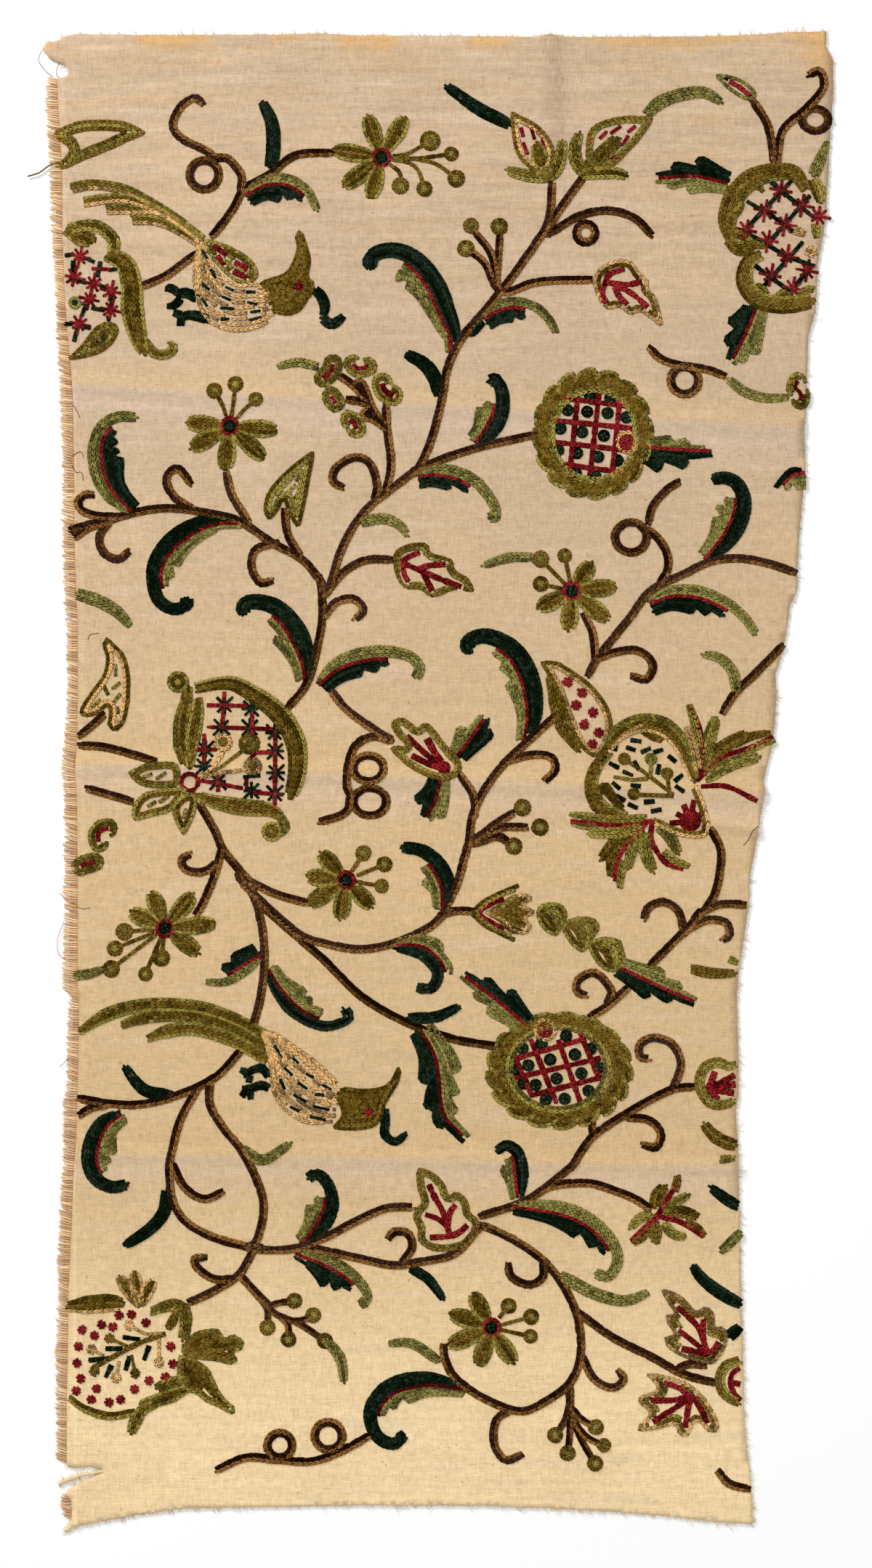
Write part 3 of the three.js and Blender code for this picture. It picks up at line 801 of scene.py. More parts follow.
def flowers():
    """The daisies, the tulips, the buds, the berries and the chain of small leaves."""
    for centre, tips, berries in (
        ((525, 217), (506,161, 557,163, 460,207, 474,256, 510,272),
         ((592, 194, 14, 560,212), (621, 212, 10, 575,218), (628, 246, 12, 600,226, 570,219),
          (584, 260, 11, 576,236, 562,224), (551, 256, 12, 550,238))),
        ((316, 587), (258,582, 264,617, 310,646, 362,630, 380,592),
         ((295, 538, 11, 306,558), (324, 529, 11, 321,556), (352, 550, 10, 336,564))),
        ((787, 814), (813,776, 846,808, 836,853, 782,867, 742,837),
         ((744, 770, 12), (777, 765, 10), (744, 804, 11))),
        ((476, 1212), (442,1175, 423,1207, 425,1245, 468,1264, 511,1248),
         ((500, 1175, 11), (529, 1190, 11), (525, 1220, 10))),
        ((227, 1278), (209,1229, 265,1232, 295,1272, 273,1312, 180,1256),
         ((171, 1283, 12), (158, 1306, 11), (222, 1319, 12), (200, 1341, 10), (153, 1334, 12))),
        ((676, 1828), (651,1782, 621,1809, 618,1852, 659,1879, 707,1876),
         ((700, 1798, 11), (731, 1813, 11), (730, 1840, 10))),
    ):
        c = np.array(centre, float)
        for x, y, r, *stalk in berries:
            stalk = pairs(x, y, *stalk)
            away = stalk[-1] - c
            berry((x, y), r, *stalk[1:], c + away * 15 / np.hypot(*away))
        flower(centre, tips)
    for stalks, berries in (
        (((683,388, 676,350, 652,318), (684,390, 686,350, 688,322), (680,392, 668,364, 648,346)),
         ((648, 311, 11), (687, 312, 12), (641, 342, 12))),
        ((), ((719, 1112, 12), (743, 1139, 12), (707, 1165, 12))),
    ):
        for places in stalks:
            vine(*places, width=0.9)
        for x, y, r in berries:
            berry((x, y), r)
    for (x, y, r), *twig in (
        ((368, 1828, 11), 358,1788, 368,1804, 368,1824),
        ((397, 1844, 11), 384,1812, 396,1824, 397,1840),
        ((405, 1791, 11), 366,1800, 384,1794, 402,1792),
        ((431, 1811, 11), 402,1818, 416,1818, 428,1812),
        ((447, 1846, 11), 350,1780, 378,1808, 410,1822, 443,1843),
        ((820, 1965, 11), 785,1936, 800,1954, 816,1963),
        ((831, 1990, 10), 786,1950, 804,1976, 827,1989),
        ((819, 2015, 11), 784,1940, 796,1974, 816,2011),
        ((781, 2001, 11), 784,1944, 784,1972, 782,1998),
        ((764, 1976, 11), 784,1930, 778,1954, 767,1972),
    ):
        two_rows(smooth(twig), 0, 0.8)
        berry((x, y), r)
    outlined_leaf(DARK_LIGHT, (546,989, 556,989, 567,996, 574,1002, 582,996, 592,998, 608,1017, 622,1035,
        633,1047, 635,1060, 626,1071, 610,1075, 588,1070, 565,1058, 547,1043, 537,1031, 546,1027, 558,1027,
        548,1016, 540,1004, 539,995), 12)
    for tip, wide in (((561, 1015), 1.6), ((587, 1016), 2.0), ((566, 1040), 1.8)):
        row("madder", smooth((tip, ((tip[0] + 613) / 2, (tip[1] + 1059) / 2 + 2), (613, 1059))), wide * ROW)
    disc(("madder",), (611, 1057), 9)
    for offset in (0, 1):
        wool, k = (DARK_LIGHT[offset]), offset * 6
        row(wool, smooth(((714 - k, 1219 + k), (690 - k, 1229 + k), (666 + 0.3 * k, 1241 + 0.8 * k),
            (649 + k, 1257))), 1.2 * ROW)
        row(wool, smooth(((649 + k, 1257), (664 + 0.3 * k, 1272 - 0.8 * k), (686 - k, 1284 - k),
            (707 - k, 1294 - k))), 1.2 * ROW)
    row("madder", smooth((691,1238, 673,1246, 659,1257, 674,1269, 694,1280)), 1.5 * ROW)
    for points in ((676,1256, 700,1246, 722,1238), (676,1257, 700,1256, 730,1256),
            (676,1258, 700,1267, 726,1272), (690,1266, 706,1278, 718,1281), (690,1250, 706,1240, 716,1235)):
        plump("olive", (4, 7, 7, 5), *points)
    nested(("sand",), (668,1257, 690,1247, 706,1233, 722,1230, 734,1238, 722,1246, 738,1256, 724,1264,
        732,1274, 724,1286, 708,1284, 690,1268), 5)
    for outline in (
        (738,1255, 744,1246, 757,1242, 774,1246, 781,1259, 776,1272, 766,1288, 752,1284, 741,1270),
        (773,1277, 782,1266, 804,1262, 820,1267, 825,1279, 815,1294, 803,1311, 788,1303, 777,1288),
        (808,1299, 818,1293, 836,1290, 854,1295, 858,1306, 861,1322, 850,1337, 834,1337, 818,1322),
    ):
        nested(LIGHT_DARK, outline, 9)
    for points in ((748,1251, 760,1262, 769,1280), (788,1269, 803,1280, 806,1303),
            (825,1299, 841,1308, 847,1332)):
        plump(LIGHT_DARK, (9, 13, 12, 6), *points)
    sepal = LIGHT_EDGED
    nested(("olive", "sand"), (703,156, 718,160, 740,172, 756,190, 764,212, 758,234, 744,240, 728,232,
        714,218, 706,196), 9)
    dashes("madder", 717,176, 720,188, 730,173, 735,190, 743,182, 750,204, 720,197, 726,212)
    bar(sepal, 18, 756,244, 738,243, 718,240, 697,234)
    bar(sepal, 18, 754,246, 766,232, 772,212, 774,191)
    bar(sepal, 24, 752,246, 744,222, 738,194)
    nested(DARK_LIGHT, (898,163, 880,160, 858,160, 830,166, 812,178, 806,200, 808,222, 824,234, 846,228,
        866,208, 884,188), 9)
    dashes("madder", 812,198, 816,188, 826,190, 834,182, 840,184, 854,174, 864,182, 874,174, 856,200,
        864,188, 840,220, 850,214)
    bar(sepal, 25, 802,240, 820,224, 836,206, 854,188)
    bar(sepal, 18, 806,240, 794,224, 791,204, 798,182)
    bar(sepal, 18, 800,240, 824,238, 846,238, 865,243)


def left_fruit():
    """The starred fruit cut by the selvedge, with its wreath and its small leaf."""
    both = LIGHT_EDGED
    plump(both, (8, 15, 10), 91,316, 110,324, 132,332)
    plump(both, (8, 8, 9, 8), 100,313, 132,311, 156,330, 154,354)
    plump(both, (10, 14, 15, 16, 13, 6), 148,350, 172,364, 181,392, 182,424, 190,464, 200,490)
    plump(both, (6, 7, 7, 7, 7), 200,470, 212,486, 228,488, 238,480, 232,472)
    for x, y in pairs(110,353, 102,382, 128,391, 153,401, 123,412, 153,427, 109,446):
        star("madder", (x, y), 14, turn=12)
    straight("madder", 126,370, 152,371)
    dashes("deep_green", 90,352, 101,350, 116,355, 130,361, 101,360, 100,374, 138,362, 134,382, 150,372,
        162,370, 100,384, 120,390, 136,392, 148,398, 118,420, 112,436, 126,424, 144,428, 153,408, 153,420,
        148,436, 150,442, 90,446, 100,446, 106,452, 102,470, 116,450, 124,452, width=6.2)
    disc(("sage", "deep_green"), (103, 417), 9)
    nested(DARK_EDGED, (93,495, 112,475, 126,456, 142,444, 158,445, 163,458, 150,478, 128,490), 13)
    dashes("deep_green", 133,468, 128,474)
    dashes("deep_green", 146,456, 141,468)


def right_fruit():
    """The starred fruit cut by the right edge, with its wreath."""
    both = ONE_LIGHT_EDGE
    leaf(both, (8, 12, 14, 15, 15, 14, 8), (6, 10, 12, 14, 13, 12, 8), 1110,262, 1094,238, 1066,236,
        1034,246, 1009,272, 1000,304, 1008,334)
    leaf(both, (8, 12, 12), (8, 9, 6), 1002,330, 1018,344, 1044,334)
    leaf(both, (8, 12, 13, 13, 12, 10), (6, 10, 12, 12, 12, 10), 1046,350, 1028,362, 1024,388, 1042,412,
        1076,420, 1122,414)
    for width, *points in (
        (12, 1012,268, 1024,258, 1042,256, 1050,264),
        (12, 1004,300, 1014,292, 1022,280),
        (13, 1004,318, 1020,324, 1036,336, 1056,338),
        (12, 1030,400, 1046,396, 1056,406),
        (12, 1064,420, 1076,404, 1090,408),
        (12, 1096,420, 1108,400, 1122,398),
    ):
        bar(LIGHT_DARK, width, *points)
    plump("sage", (4, 8, 9), 1138,196, 1130,216, 1118,244)
    plump(LIGHT_DARK, (8, 10, 6), 1118,246, 1126,262, 1130,280)
    bar("sand", 12, 1090,316, 1108,322)
    bar("leaf_green", 12, 1122,308, 1124,328)
    bar("sand", 16, 1110,344, 1124,350)
    dashes("deep_green", 1056,247, 1118,298, 1091,247, 1022,320, 1029,278, 1050,290, 1053,290, 1090,318,
        1114,270, 1060,332, 1024,318, 1084,354, 1084,354, 1120,366, 1104,334, 1052,393, 1038,365, 1088,402,
        1112,372, 1088,402, width=6.4)
    for x, y in pairs(1074,262, 1053,290, 1104,283, 1027,317, 1080,309, 1057,331, 1083,353, 1061,379,
            1111,373, 1091,397, 1126,298):
        star("madder", (x, y), 15, turn=10)


def starred_fruit():
    """The fruit with green stars on a red trellis, its wreath, its berries and its leaves."""
    both, one = LIGHT_EDGED, LIGHT_DARK
    disc(LIGHT_EDGED, (245, 939), 15)
    leaf(both, (7, 9, 12, 12, 10), (7, 9, 10, 11, 8), 258,946, 256,966, 249,992, 249,1022, 256,1054)
    leaf(both, (7, 10, 11, 9, 4), (6, 10, 10, 9, 4), 272,962, 271,984, 266,1010, 262,1036, 262,1060)
    leaf(ONE_LIGHT_EDGE, (7, 10, 12, 14, 15, 14, 10), (7, 9, 12, 14, 14, 12, 8), 270,947, 316,941, 352,958,
        386,985, 406,1022, 408,1062, 398,1100)
    leaf(LIGHT_EDGED, (4, 10, 12, 12, 8), (4, 10, 12, 10, 6), 266,1092, 296,1104, 338,1112, 370,1116,
        388,1126)
    plump(one, (6, 7, 7), 384,1122, 392,1138, 382,1150)
    disc(LIGHT_EDGED, (374, 1145), 14)
    dashes("madder", 284,971, 340,972, 285,1001, 376,1004, 268,1032, 300,1032, 352,1036, 376,1036, 272,1074,
        332,1085, 346,1091, 388,1094, 309,951, 306,1001, 347,980, 347,1014, 281,1010, 281,1050, 379,1004,
        378,1114, 300,1066, 300,1088, 339,1072, 339,1088, 352,1036, 344,1046, width=6.2)
    for x, y in pairs(309,971, 305,1001, 344,1002, 346,976, 378,1009, 283,1032, 281,1055, 379,1034,
            300,1076, 380,1064, 346,1089, 378,1093):
        star("deep_green", (x, y), 14, turn=45)
    dashes("deep_green", 334,1070, 356,1068)
    straight("sand", 308,1034, 296,1054, 276,1070, width=6)
    straight("sand", 338,1060, 304,1064, 278,1070, width=6)
    straight("olive", 336,1032, 304,1056, 276,1070)
    disc(("sand", "olive"), (307, 1022), 13)
    disc(DARK_EDGED, (343, 1024), 15)
    disc(("sand", "olive"), (348, 1055), 13)
    row("madder", circle((261, 1077), 11.5), 6.2)
    for outline in (
        (177,1065, 190,1056, 203,1051, 241,1050, 249,1070, 241,1084, 198,1083),
        (184,1129, 184,1108, 203,1090, 249,1084, 257,1089, 236,1116, 211,1124),
        (252,1149, 240,1130, 238,1108, 257,1092, 271,1098, 269,1119, 260,1140),
    ):
        nested(one, outline, 9)
    dashes("leaf_green", 198,1070, 208,1066, 216,1072, 228,1064, 204,1110, 214,1104, 220,1104, 232,1096,
        252,1126, 256,1114)


def dashed_fruit():
    """The fruit filled with dashes round a sprig, with its wreath, its red flower and its sprays."""
    leaf(("leaf_green", "leaf_green", "olive", "sand"), (8, 12, 13, 13, 12, 10, 6),
        (8, 12, 13, 14, 12, 10, 4), 836,1030, 850,1010, 880,996, 912,1000, 934,1020, 948,1048, 956,1078)
    leaf(ONE_LIGHT_EDGE, (6, 9, 10, 11, 10, 8), (6, 8, 9, 11, 12, 8), 838,1036, 820,1056, 813,1082,
        822,1106, 842,1120, 868,1128)
    bar("olive", 14, 816,1098, 832,1084, 840,1094, 858,1116)
    bar("olive", 12, 880,1000, 892,1010, 912,1020)
    straight("sand", 842,1028, 856,1014, 872,1003, 886,997, width=4.5)
    for x, y, tilt in ((847, 1027, 82), (875, 1020, -8), (868, 1031, -18), (889, 1033, 25), (906, 1034, 18),
            (925, 1045, -40), (906, 1059, 80), (934, 1071, 40), (935, 1086, -35), (831, 1045, 50),
            (845, 1054, -28), (876, 1054, -62), (864, 1065, -22), (848, 1082, -42), (875, 1082, -8),
            (854, 1099, -30), (871, 1110, -25), (893, 1104, 5), (903, 1116, 12)):
        angle = math.radians(tilt)
        across, down = 6.5 * math.cos(angle), -6.5 * math.sin(angle)
        straight("deep_green", (x - across, y - down), (x + across, y + down), width=6.5)
    straight("olive", 860,1046, 882,1060, 908,1080, 926,1094, width=6)
    straight("leaf_green", 896,1046, 895,1070)
    straight("olive", 918,1066, 921,1092, width=6)
    straight("leaf_green", 846,1070, 870,1074, 892,1072, width=6)
    straight("olive", 872,1094, 898,1095, 924,1096, width=6)
    for place in pairs(859,1045, 918,1065, 872,1093):
        disc(("olive",), place, 8.5)
    disc(("leaf_green",), (896, 1045), 8.5)
    lobe = smooth((899,1133, 930,1147, 956,1152, 971,1148, 974,1134, 968,1108, 958,1084))
    row("sand", lobe, 6)
    row("olive", beside(lobe, -5.0), 6)
    disc(("madder",), (950, 1130), 15)
    for tip in pairs(922,1134, 930,1120, 941,1109, 955,1101, 966,1120):
        straight("madder", (950, 1130), tip, width=8.5)
    pale, deep = "leaf_green", "olive"
    bar("sand", 13, 961,1062, 955,1030, 944,1000)
    bar(pale, 13, 963,1030, 956,996, 948,968)
    bar(pale, 20, 965,1062, 974,1024, 986,986)
    bar(deep, 20, 970,1058, 994,1030, 1030,1009)
    bar(deep, 12, 1010,1026, 1034,1014, 1060,1009)
    bar(pale, 19, 970,1072, 1006,1052, 1047,1042)
    bar(pale, 11, 1018,1044, 1044,1026, 1066,1020)
    bar(pale, 12, 890,1126, 844,1128, 784,1121)
    bar(pale, 17, 884,1140, 852,1146, 808,1148)
    bar(pale, 10, 824,1138, 806,1138, 786,1134)
    bar(deep, 21, 884,1140, 852,1156, 826,1186)
    bar(deep, 12, 850,1168, 840,1190, 840,1208)
    bar(pale, 16, 884,1146, 870,1170, 864,1197)
    bar(pale, 12, 858,1186, 854,1204, 853,1224)
    bar(pale, 18, 890,1146, 888,1172, 900,1202)
    bar(pale, 18, 906,1136, 922,1152, 934,1176)
    bar(pale, 12, 914,1172, 930,1186, 950,1193)
    for points in (
        (960,1076, 967,1044, 963,1004, 950,974),
        (963,1071, 991,1044, 1027,1031, 1064,1015),
        (964,1083, 1000,1083, 1040,1102),
        (898,1130, 855,1137, 787,1131),
        (889,1134, 862,1164, 849,1188, 847,1212),
        (898,1130, 896,1153, 906,1176, 919,1190, 938,1196),
    ):
        row("madder", smooth(points), 1.35 * ROW)


def scalloped(hollow, rim, count, start, ring, bars, dots):
    """A round fruit: a wreath of curled lobes between its hollow and its rim, each given by a
    centre and two radii, a red trellis, green dots in it, and a red ring with a pale edge."""
    (x, y), across, down = hollow
    (rx, ry), far_across, far_down = rim
    for k in range(count):
        at = math.radians(start) + 2 * math.pi * k / count
        path = []
        for out, ahead in pairs(0.45,-0.04, 0.68,0.08, 0.84,0.22, 0.88,0.36):
            c, d = math.cos(at + ahead), math.sin(at + ahead)
            near, far = np.array([x + across * c, y + down * d]), np.array([rx + far_across * c,
                ry + far_down * d])
            path.append(near + (far - near) * out)
        plump(ONE_LIGHT_EDGE, (10, 11, 9, 5), *path)
    for out, wool in ((0.10, "leaf_green"), (0.26, "leaf_green"), (0.42, "olive"), (0.58, "olive"),
            (0.72, "olive")):
        a, b = across + (far_across - across) * out, down + (far_down - down) * out
        middle = (x + (rx - x) * out, y + (ry - y) * out)
        row(wool, circle(middle, a, squeeze=b / a), 1.15 * ROW)
    for line in bars:
        straight("madder", *line, width=1.45 * ROW)
    for place in pairs(*dots):
        dot("deep_green", place, 8.6)
    disc(("sand", "madder"), ring, 16.5)


def round_fruits():
    """The two round fruits."""
    scalloped(
        ((818, 599), 54, 57), ((815, 597), 80, 88), 16, 8, (863, 609),
        ((795,546, 784,650), (824,543, 812,655), (853,549, 843,648), (773,548, 861,559),
         (764,579, 870,590), (765,609, 871,621), (772,639, 860,651)),
        (781,565, 808,567, 836,569, 771,590, 801,595, 831,600, 768,620, 794,624, 823,629, 850,634, 812,546,
         840,549, 792,651, 819,654, 862,575),
    )
    scalloped(
        ((768, 1470), 60, 53), ((770, 1475), 101, 77), 17, 330, (750, 1418),
        ((711,1461, 732,1509), (731,1433, 766,1520), (768,1431, 798,1516), (799,1424, 823,1482),
         (708,1458, 806,1430), (710,1484, 826,1457), (732,1508, 829,1483)),
        (719,1444, 745,1437, 779,1426, 813,1444, 757,1459, 791,1452, 727,1467, 711,1473, 766,1485, 800,1478,
         824,1470, 737,1494, 720,1492, 751,1514, 777,1513, 810,1502),
    )


def dotted_fruit():
    """The fruit at the lower left, filled with red dots round a sprig, under sprays of leaves."""
    both = LIGHT_EDGED
    leaf(("olive", "olive", "sand"), (6, 13, 14, 10), (6, 12, 12, 8), 92,1799, 122,1797, 150,1795, 172,1797)
    for points in ((192,1798, 178,1778, 163,1757), (193,1798, 188,1774, 185,1750),
            (195,1796, 202,1778, 212,1762)):
        plump(("sand", "olive", "sand"), (5, 9, 10, 6), *points)
    leaf(both, (6, 8, 9, 9, 8), (6, 8, 9, 8, 6), 208,1806, 224,1800, 242,1797, 254,1806, 255,1824, 250,1846)
    plump("olive", (4, 7, 5), 242,1806, 238,1818, 230,1830)
    for outline in (
        (250,1862, 254,1848, 266,1836, 284,1830, 302,1831, 309,1841, 322,1838, 335,1846, 333,1858, 322,1863,
         327,1873, 316,1879, 298,1874, 276,1872),
        (248,1866, 270,1872, 288,1886, 299,1909, 310,1925, 324,1939, 318,1947, 300,1938, 282,1930, 270,1920,
         258,1916, 248,1906, 244,1888),
    ):
        nested(LIGHT_DARK, outline, 9, step=0.85)
    for points in ((254,1856, 280,1846, 302,1838), (254,1860, 292,1854, 326,1850),
            (256,1864, 290,1864, 318,1872), (254,1868, 262,1890, 276,1918), (258,1872, 282,1898, 300,1924)):
        plump("olive", (6, 9, 9, 5), *points)
    plump(both, (6, 9, 8), 262,1900, 236,1904, 214,1912)
    plump(both, (6, 10, 9, 7), 258,1912, 234,1922, 210,1930, 192,1934)
    plump(both, (6, 8, 9, 6), 212,1934, 196,1942, 186,1958, 180,1976)
    leaf(DARK_LIGHT, (5, 6, 6, 5), (4, 5, 6, 5), 95,1925, 116,1940, 150,1950, 186,1944)
    for place in pairs(164,1811, 181,1810, 201,1821, 140,1824, 155,1827, 113,1831, 130,1839, 108,1854,
            235,1854, 106,1877, 238,1878, 111,1898, 228,1896, 205,1901, 105,1915, 133,1912, 185,1913,
            126,1927, 150,1931, 166,1927):
        dot("madder", place, 6.8)
    row("olive", smooth((228,1836, 190,1850, 156,1868, 130,1882)), 1.4 * ROW)
    for knob, wool, *stalk in (
        ((130, 1888), "olive", 136,1878),
        ((151, 1843), "olive", 174,1853),
        ((186, 1891), "olive", 181,1866),
        ((178, 1825), "sand", 200,1836, 222,1836),
        ((126, 1858), "sand", 142,1866),
        ((219, 1876), "sand", 219,1842),
        ((160, 1897), "sand", 164,1874),
    ):
        row(wool, smooth((*knob, *stalk)), 0.9 * ROW)
        disc((wool,), knob, 7.5)
    dashes("deep_green", 168,1841, 190,1844, 146,1857, 168,1857, 123,1873, 150,1870, 205,1854, 198,1873,
        178,1868, 173,1886, 153,1881, 145,1897, width=1.35 * ROW)


def between(upper, lower, count):
    """Curves spread evenly from one curve to another."""
    first, last = (smooth(points) for points in (upper, lower))
    many = max(len(first), len(last))
    first, last = (np.stack([np.interp(np.linspace(0, 1, many), share(c), c[:, k]) for k in (0, 1)],
        1) for c in (first, last))
    return [first + (last - first) * k / (count - 1) for k in range(count)]


def upper_bird():
    """The bird at the upper left."""
    for points in (
        (182,304, 211,305, 238,315, 272,336),
        (146,290, 182,290, 214,291, 246,307, 274,332),
        (115,280, 150,275, 176,275, 212,288, 246,308, 276,330),
        (99,261, 128,256, 171,262, 204,278, 238,298, 279,329),
    ):
        line = smooth(points)
        s = share(line)
        band(LIGHT_DARK, line, -9.5 * (1 - 0.4 * s), 0.0)
        band("sand", line, 0.0, 6.0 * (1 - 0.3 * s))
    marks = strokes(279,347, 285,355, 290,370, 297,383, 279,392, 288,399, 310,395, 321,400, 339,402,
        351,402, 278,411, 285,422, 307,409, 317,413, 340,416, 353,419, 302,424, 320,425, 345,430, 358,428,
        343,441, 359,437, 304,440, 315,439)
    for k, curve in enumerate(between(
        (280,332, 289,360, 306,382, 328,393, 350,392, 370,402),
        (272,338, 268,387, 275,419, 286,440, 305,451, 328,455, 357,449, 380,434),
        9,
    )):
        kept("sand", curve, apart(curve, marks, 3.5) & (share(curve) < 0.93 + 0.07 * (k % 2)), 1.12 * ROW)
    wing = (279,330, 298,332, 321,341, 342,354, 354,370, 354,382, 342,391, 324,388, 304,371, 287,350)
    spots = strokes(295,339, 310,350, 300,353, 308,365, 323,361, 339,370, 320,373, 338,382)
    nested(LIGHT_EDGED, wing, marks=spots)
    dashes("madder", *spots, width=1.7 * ROW)
    dashes("deep_green", *marks, width=0.8 * ROW)
    head = (412,318, 406,325, 408,342, 401,363, 390,376, 360,387, 359,395, 372,402, 369,413, 376,430,
        397,435, 414,428, 424,413, 432,402, 432,388, 425,380, 428,358, 423,338, 417,321)
    eye = strokes(409,395, 415,395)
    nested(("olive",), head, step=0.72, marks=eye)
    plump("olive", (5, 8, 7), 412,345, 414,368, 402,386)
    plump("olive", (8, 13, 12), 366,400, 386,406, 402,412)
    dot("madder", (412, 395), 7.5)
    bar("deep_green", 15, 432,398, 442,408, 447,422, 444,438)
    bar("deep_green", 15, 442,438, 458,446, 474,434)
    for width, *points in ((15, 272,412, 258,404, 240,405), (12, 246,404, 234,396, 229,402),
            (12, 250,410, 240,420, 230,422), (14, 288,440, 262,434, 246,438), (12, 250,436, 248,450),
            (12, 250,434, 238,430)):
        bar("deep_green", width, *points)


def lower_bird():
    """The bird at the lower left."""
    for points in (
        (204,1430, 230,1420, 268,1417, 321,1433, 368,1460),
        (166,1412, 208,1399, 268,1400, 321,1416, 366,1442),
        (110,1420, 150,1396, 200,1384, 268,1386, 321,1402, 362,1424),
    ):
        line = smooth(points)
        half = 9.5 * np.interp(share(line), [0, 0.15, 0.7, 1.0], [0.5, 1.0, 0.95, 0.8])
        band(LIGHT_EDGED, line, -half, half)
    marks = strokes(377,1438, 387,1454, 403,1457, 411,1464, 391,1470, 402,1480, 421,1478, 431,1484,
        386,1486, 392,1500, 411,1491, 422,1499, 443,1493, 455,1500, 403,1507, 420,1516, 434,1507, 446,1508,
        433,1524, 454,1528, 400,1524, 411,1530, 428,1538, 447,1542)
    for k, curve in enumerate(between(
        (361,1420, 381,1425, 407,1443, 431,1460, 453,1480, 470,1500),
        (361,1424, 368,1444, 373,1470, 376,1500, 389,1524, 412,1541, 432,1546, 458,1544),
        12,
    )):
        kept("sand", curve, apart(curve, marks, 3.4) & (share(curve) < 0.93 + 0.07 * (k % 2)), 1.1 * ROW)
    dashes("deep_green", *marks, width=0.8 * ROW)
    head = (549,1470, 545,1473, 536,1489, 522,1497, 498,1499, 471,1497, 463,1511, 470,1534, 458,1552,
        470,1556, 496,1556, 516,1551, 527,1537, 531,1521, 539,1507, 549,1490, 552,1474)
    eye = strokes(506,1532, 510,1532)
    nested(("olive",), head, step=0.72, marks=eye)
    plump("olive", (8, 12, 8), 476,1526, 500,1516, 522,1510)
    dot("madder", (508, 1532), 6.5)
    bar("deep_green", 13, 530,1525, 530,1545, 530,1562, 544,1572, 560,1560)
    for width, *points in ((12, 371,1484, 360,1471, 346,1474, 336,1482), (10, 342,1478, 330,1472),
            (10, 344,1480, 342,1491), (12, 372,1500, 360,1494, 346,1498, 334,1498),
            (10, 344,1500, 345,1515), (10, 338,1502, 332,1511)):
        bar("deep_green", width, *points)


# Heights, meshes and materials


def lift(places):
    """How far the cloth stands off the surface: each crease is a raised cosine across its line,
    as high as its own height, and fades out at both ends."""
    places = np.asarray(places, float)
    total = np.zeros(places.shape[:-1])
    for start, end, height, half in CREASES:
        start, end = np.array(start, float), np.array(end, float)
        reach = np.hypot(*(end - start))
        along = (end - start) / reach
        away = places - start
        at = away @ along
        aside = np.abs(away @ np.array([-along[1], along[0]]))
        fade = np.clip(np.minimum(at, reach - at) / CREASE_FADE, 0, 1)
        total += height * fade * (1 + np.cos(math.pi * np.minimum(aside / half, 1))) / 2
    return total


def wrinkles(places):
    """The cloth's fine unevenness: slow swells over the whole cloth, and close wrinkles that
    run across it near its top and bottom edges, each a sum of sines."""
    x, y = np.moveaxis(np.asarray(places, float), -1, 0)
    slow = 0.00012 * np.sin(x / 61 + 1.3 * np.sin(y / 97)) * np.sin(y / 43 + 0.8)
    near_top = np.exp(-(((y - 170) / 120) ** 2))
    near_foot = np.exp(-(((y - 2070) / 60) ** 2))
    phase = y / 3.1 + 1.7 * np.sin(x / 83) + 0.9 * np.sin(x / 31 + 2)
    return slow + 0.00010 * (near_top + near_foot) * np.sin(phase) * np.sin(x / 47 + y / 29) + 0.00012


def top_of(places):
    """The height of the cloth's face."""
    return CLOTH_THICKNESS + lift(places) + np.maximum(wrinkles(places), 0)


def new_piece(name, points, faces, wanted=None):
    """A mesh object from an array of points and an array of triangles, with its attributes."""
    mesh = bpy.data.meshes.new(name)
    mesh.vertices.add(len(points))
    mesh.vertices.foreach_set("co", np.asarray(points, np.float32).ravel())
    mesh.loops.add(len(faces) * 3)
    mesh.loops.foreach_set("vertex_index", np.asarray(faces, np.int32).ravel())
    mesh.polygons.add(len(faces))
    mesh.polygons.foreach_set("loop_start", np.arange(0, len(faces) * 3, 3, dtype=np.int32))
    mesh.polygons.foreach_set("use_smooth", np.ones(len(faces), bool))
    mesh.update(calc_edges=True)
    for key, values in (wanted or {}).items():
        kind = "FLOAT" if values.ndim == 1 else "FLOAT_VECTOR"
        layer = mesh.attributes.new(key, kind, "POINT")
        layer.data.foreach_set("value" if values.ndim == 1 else "vector", values.astype(np.float32).ravel())
    mesh.validate()
    piece = bpy.data.objects.new(name, mesh)
    bpy.context.scene.collection.objects.link(piece)
    return piece


# The mark, in the yarn attribute, of the mound's points: the mound is a dark filler painted as the shade
# between a link's strands.
PAINTED_SHADE_MOUND = 9.0


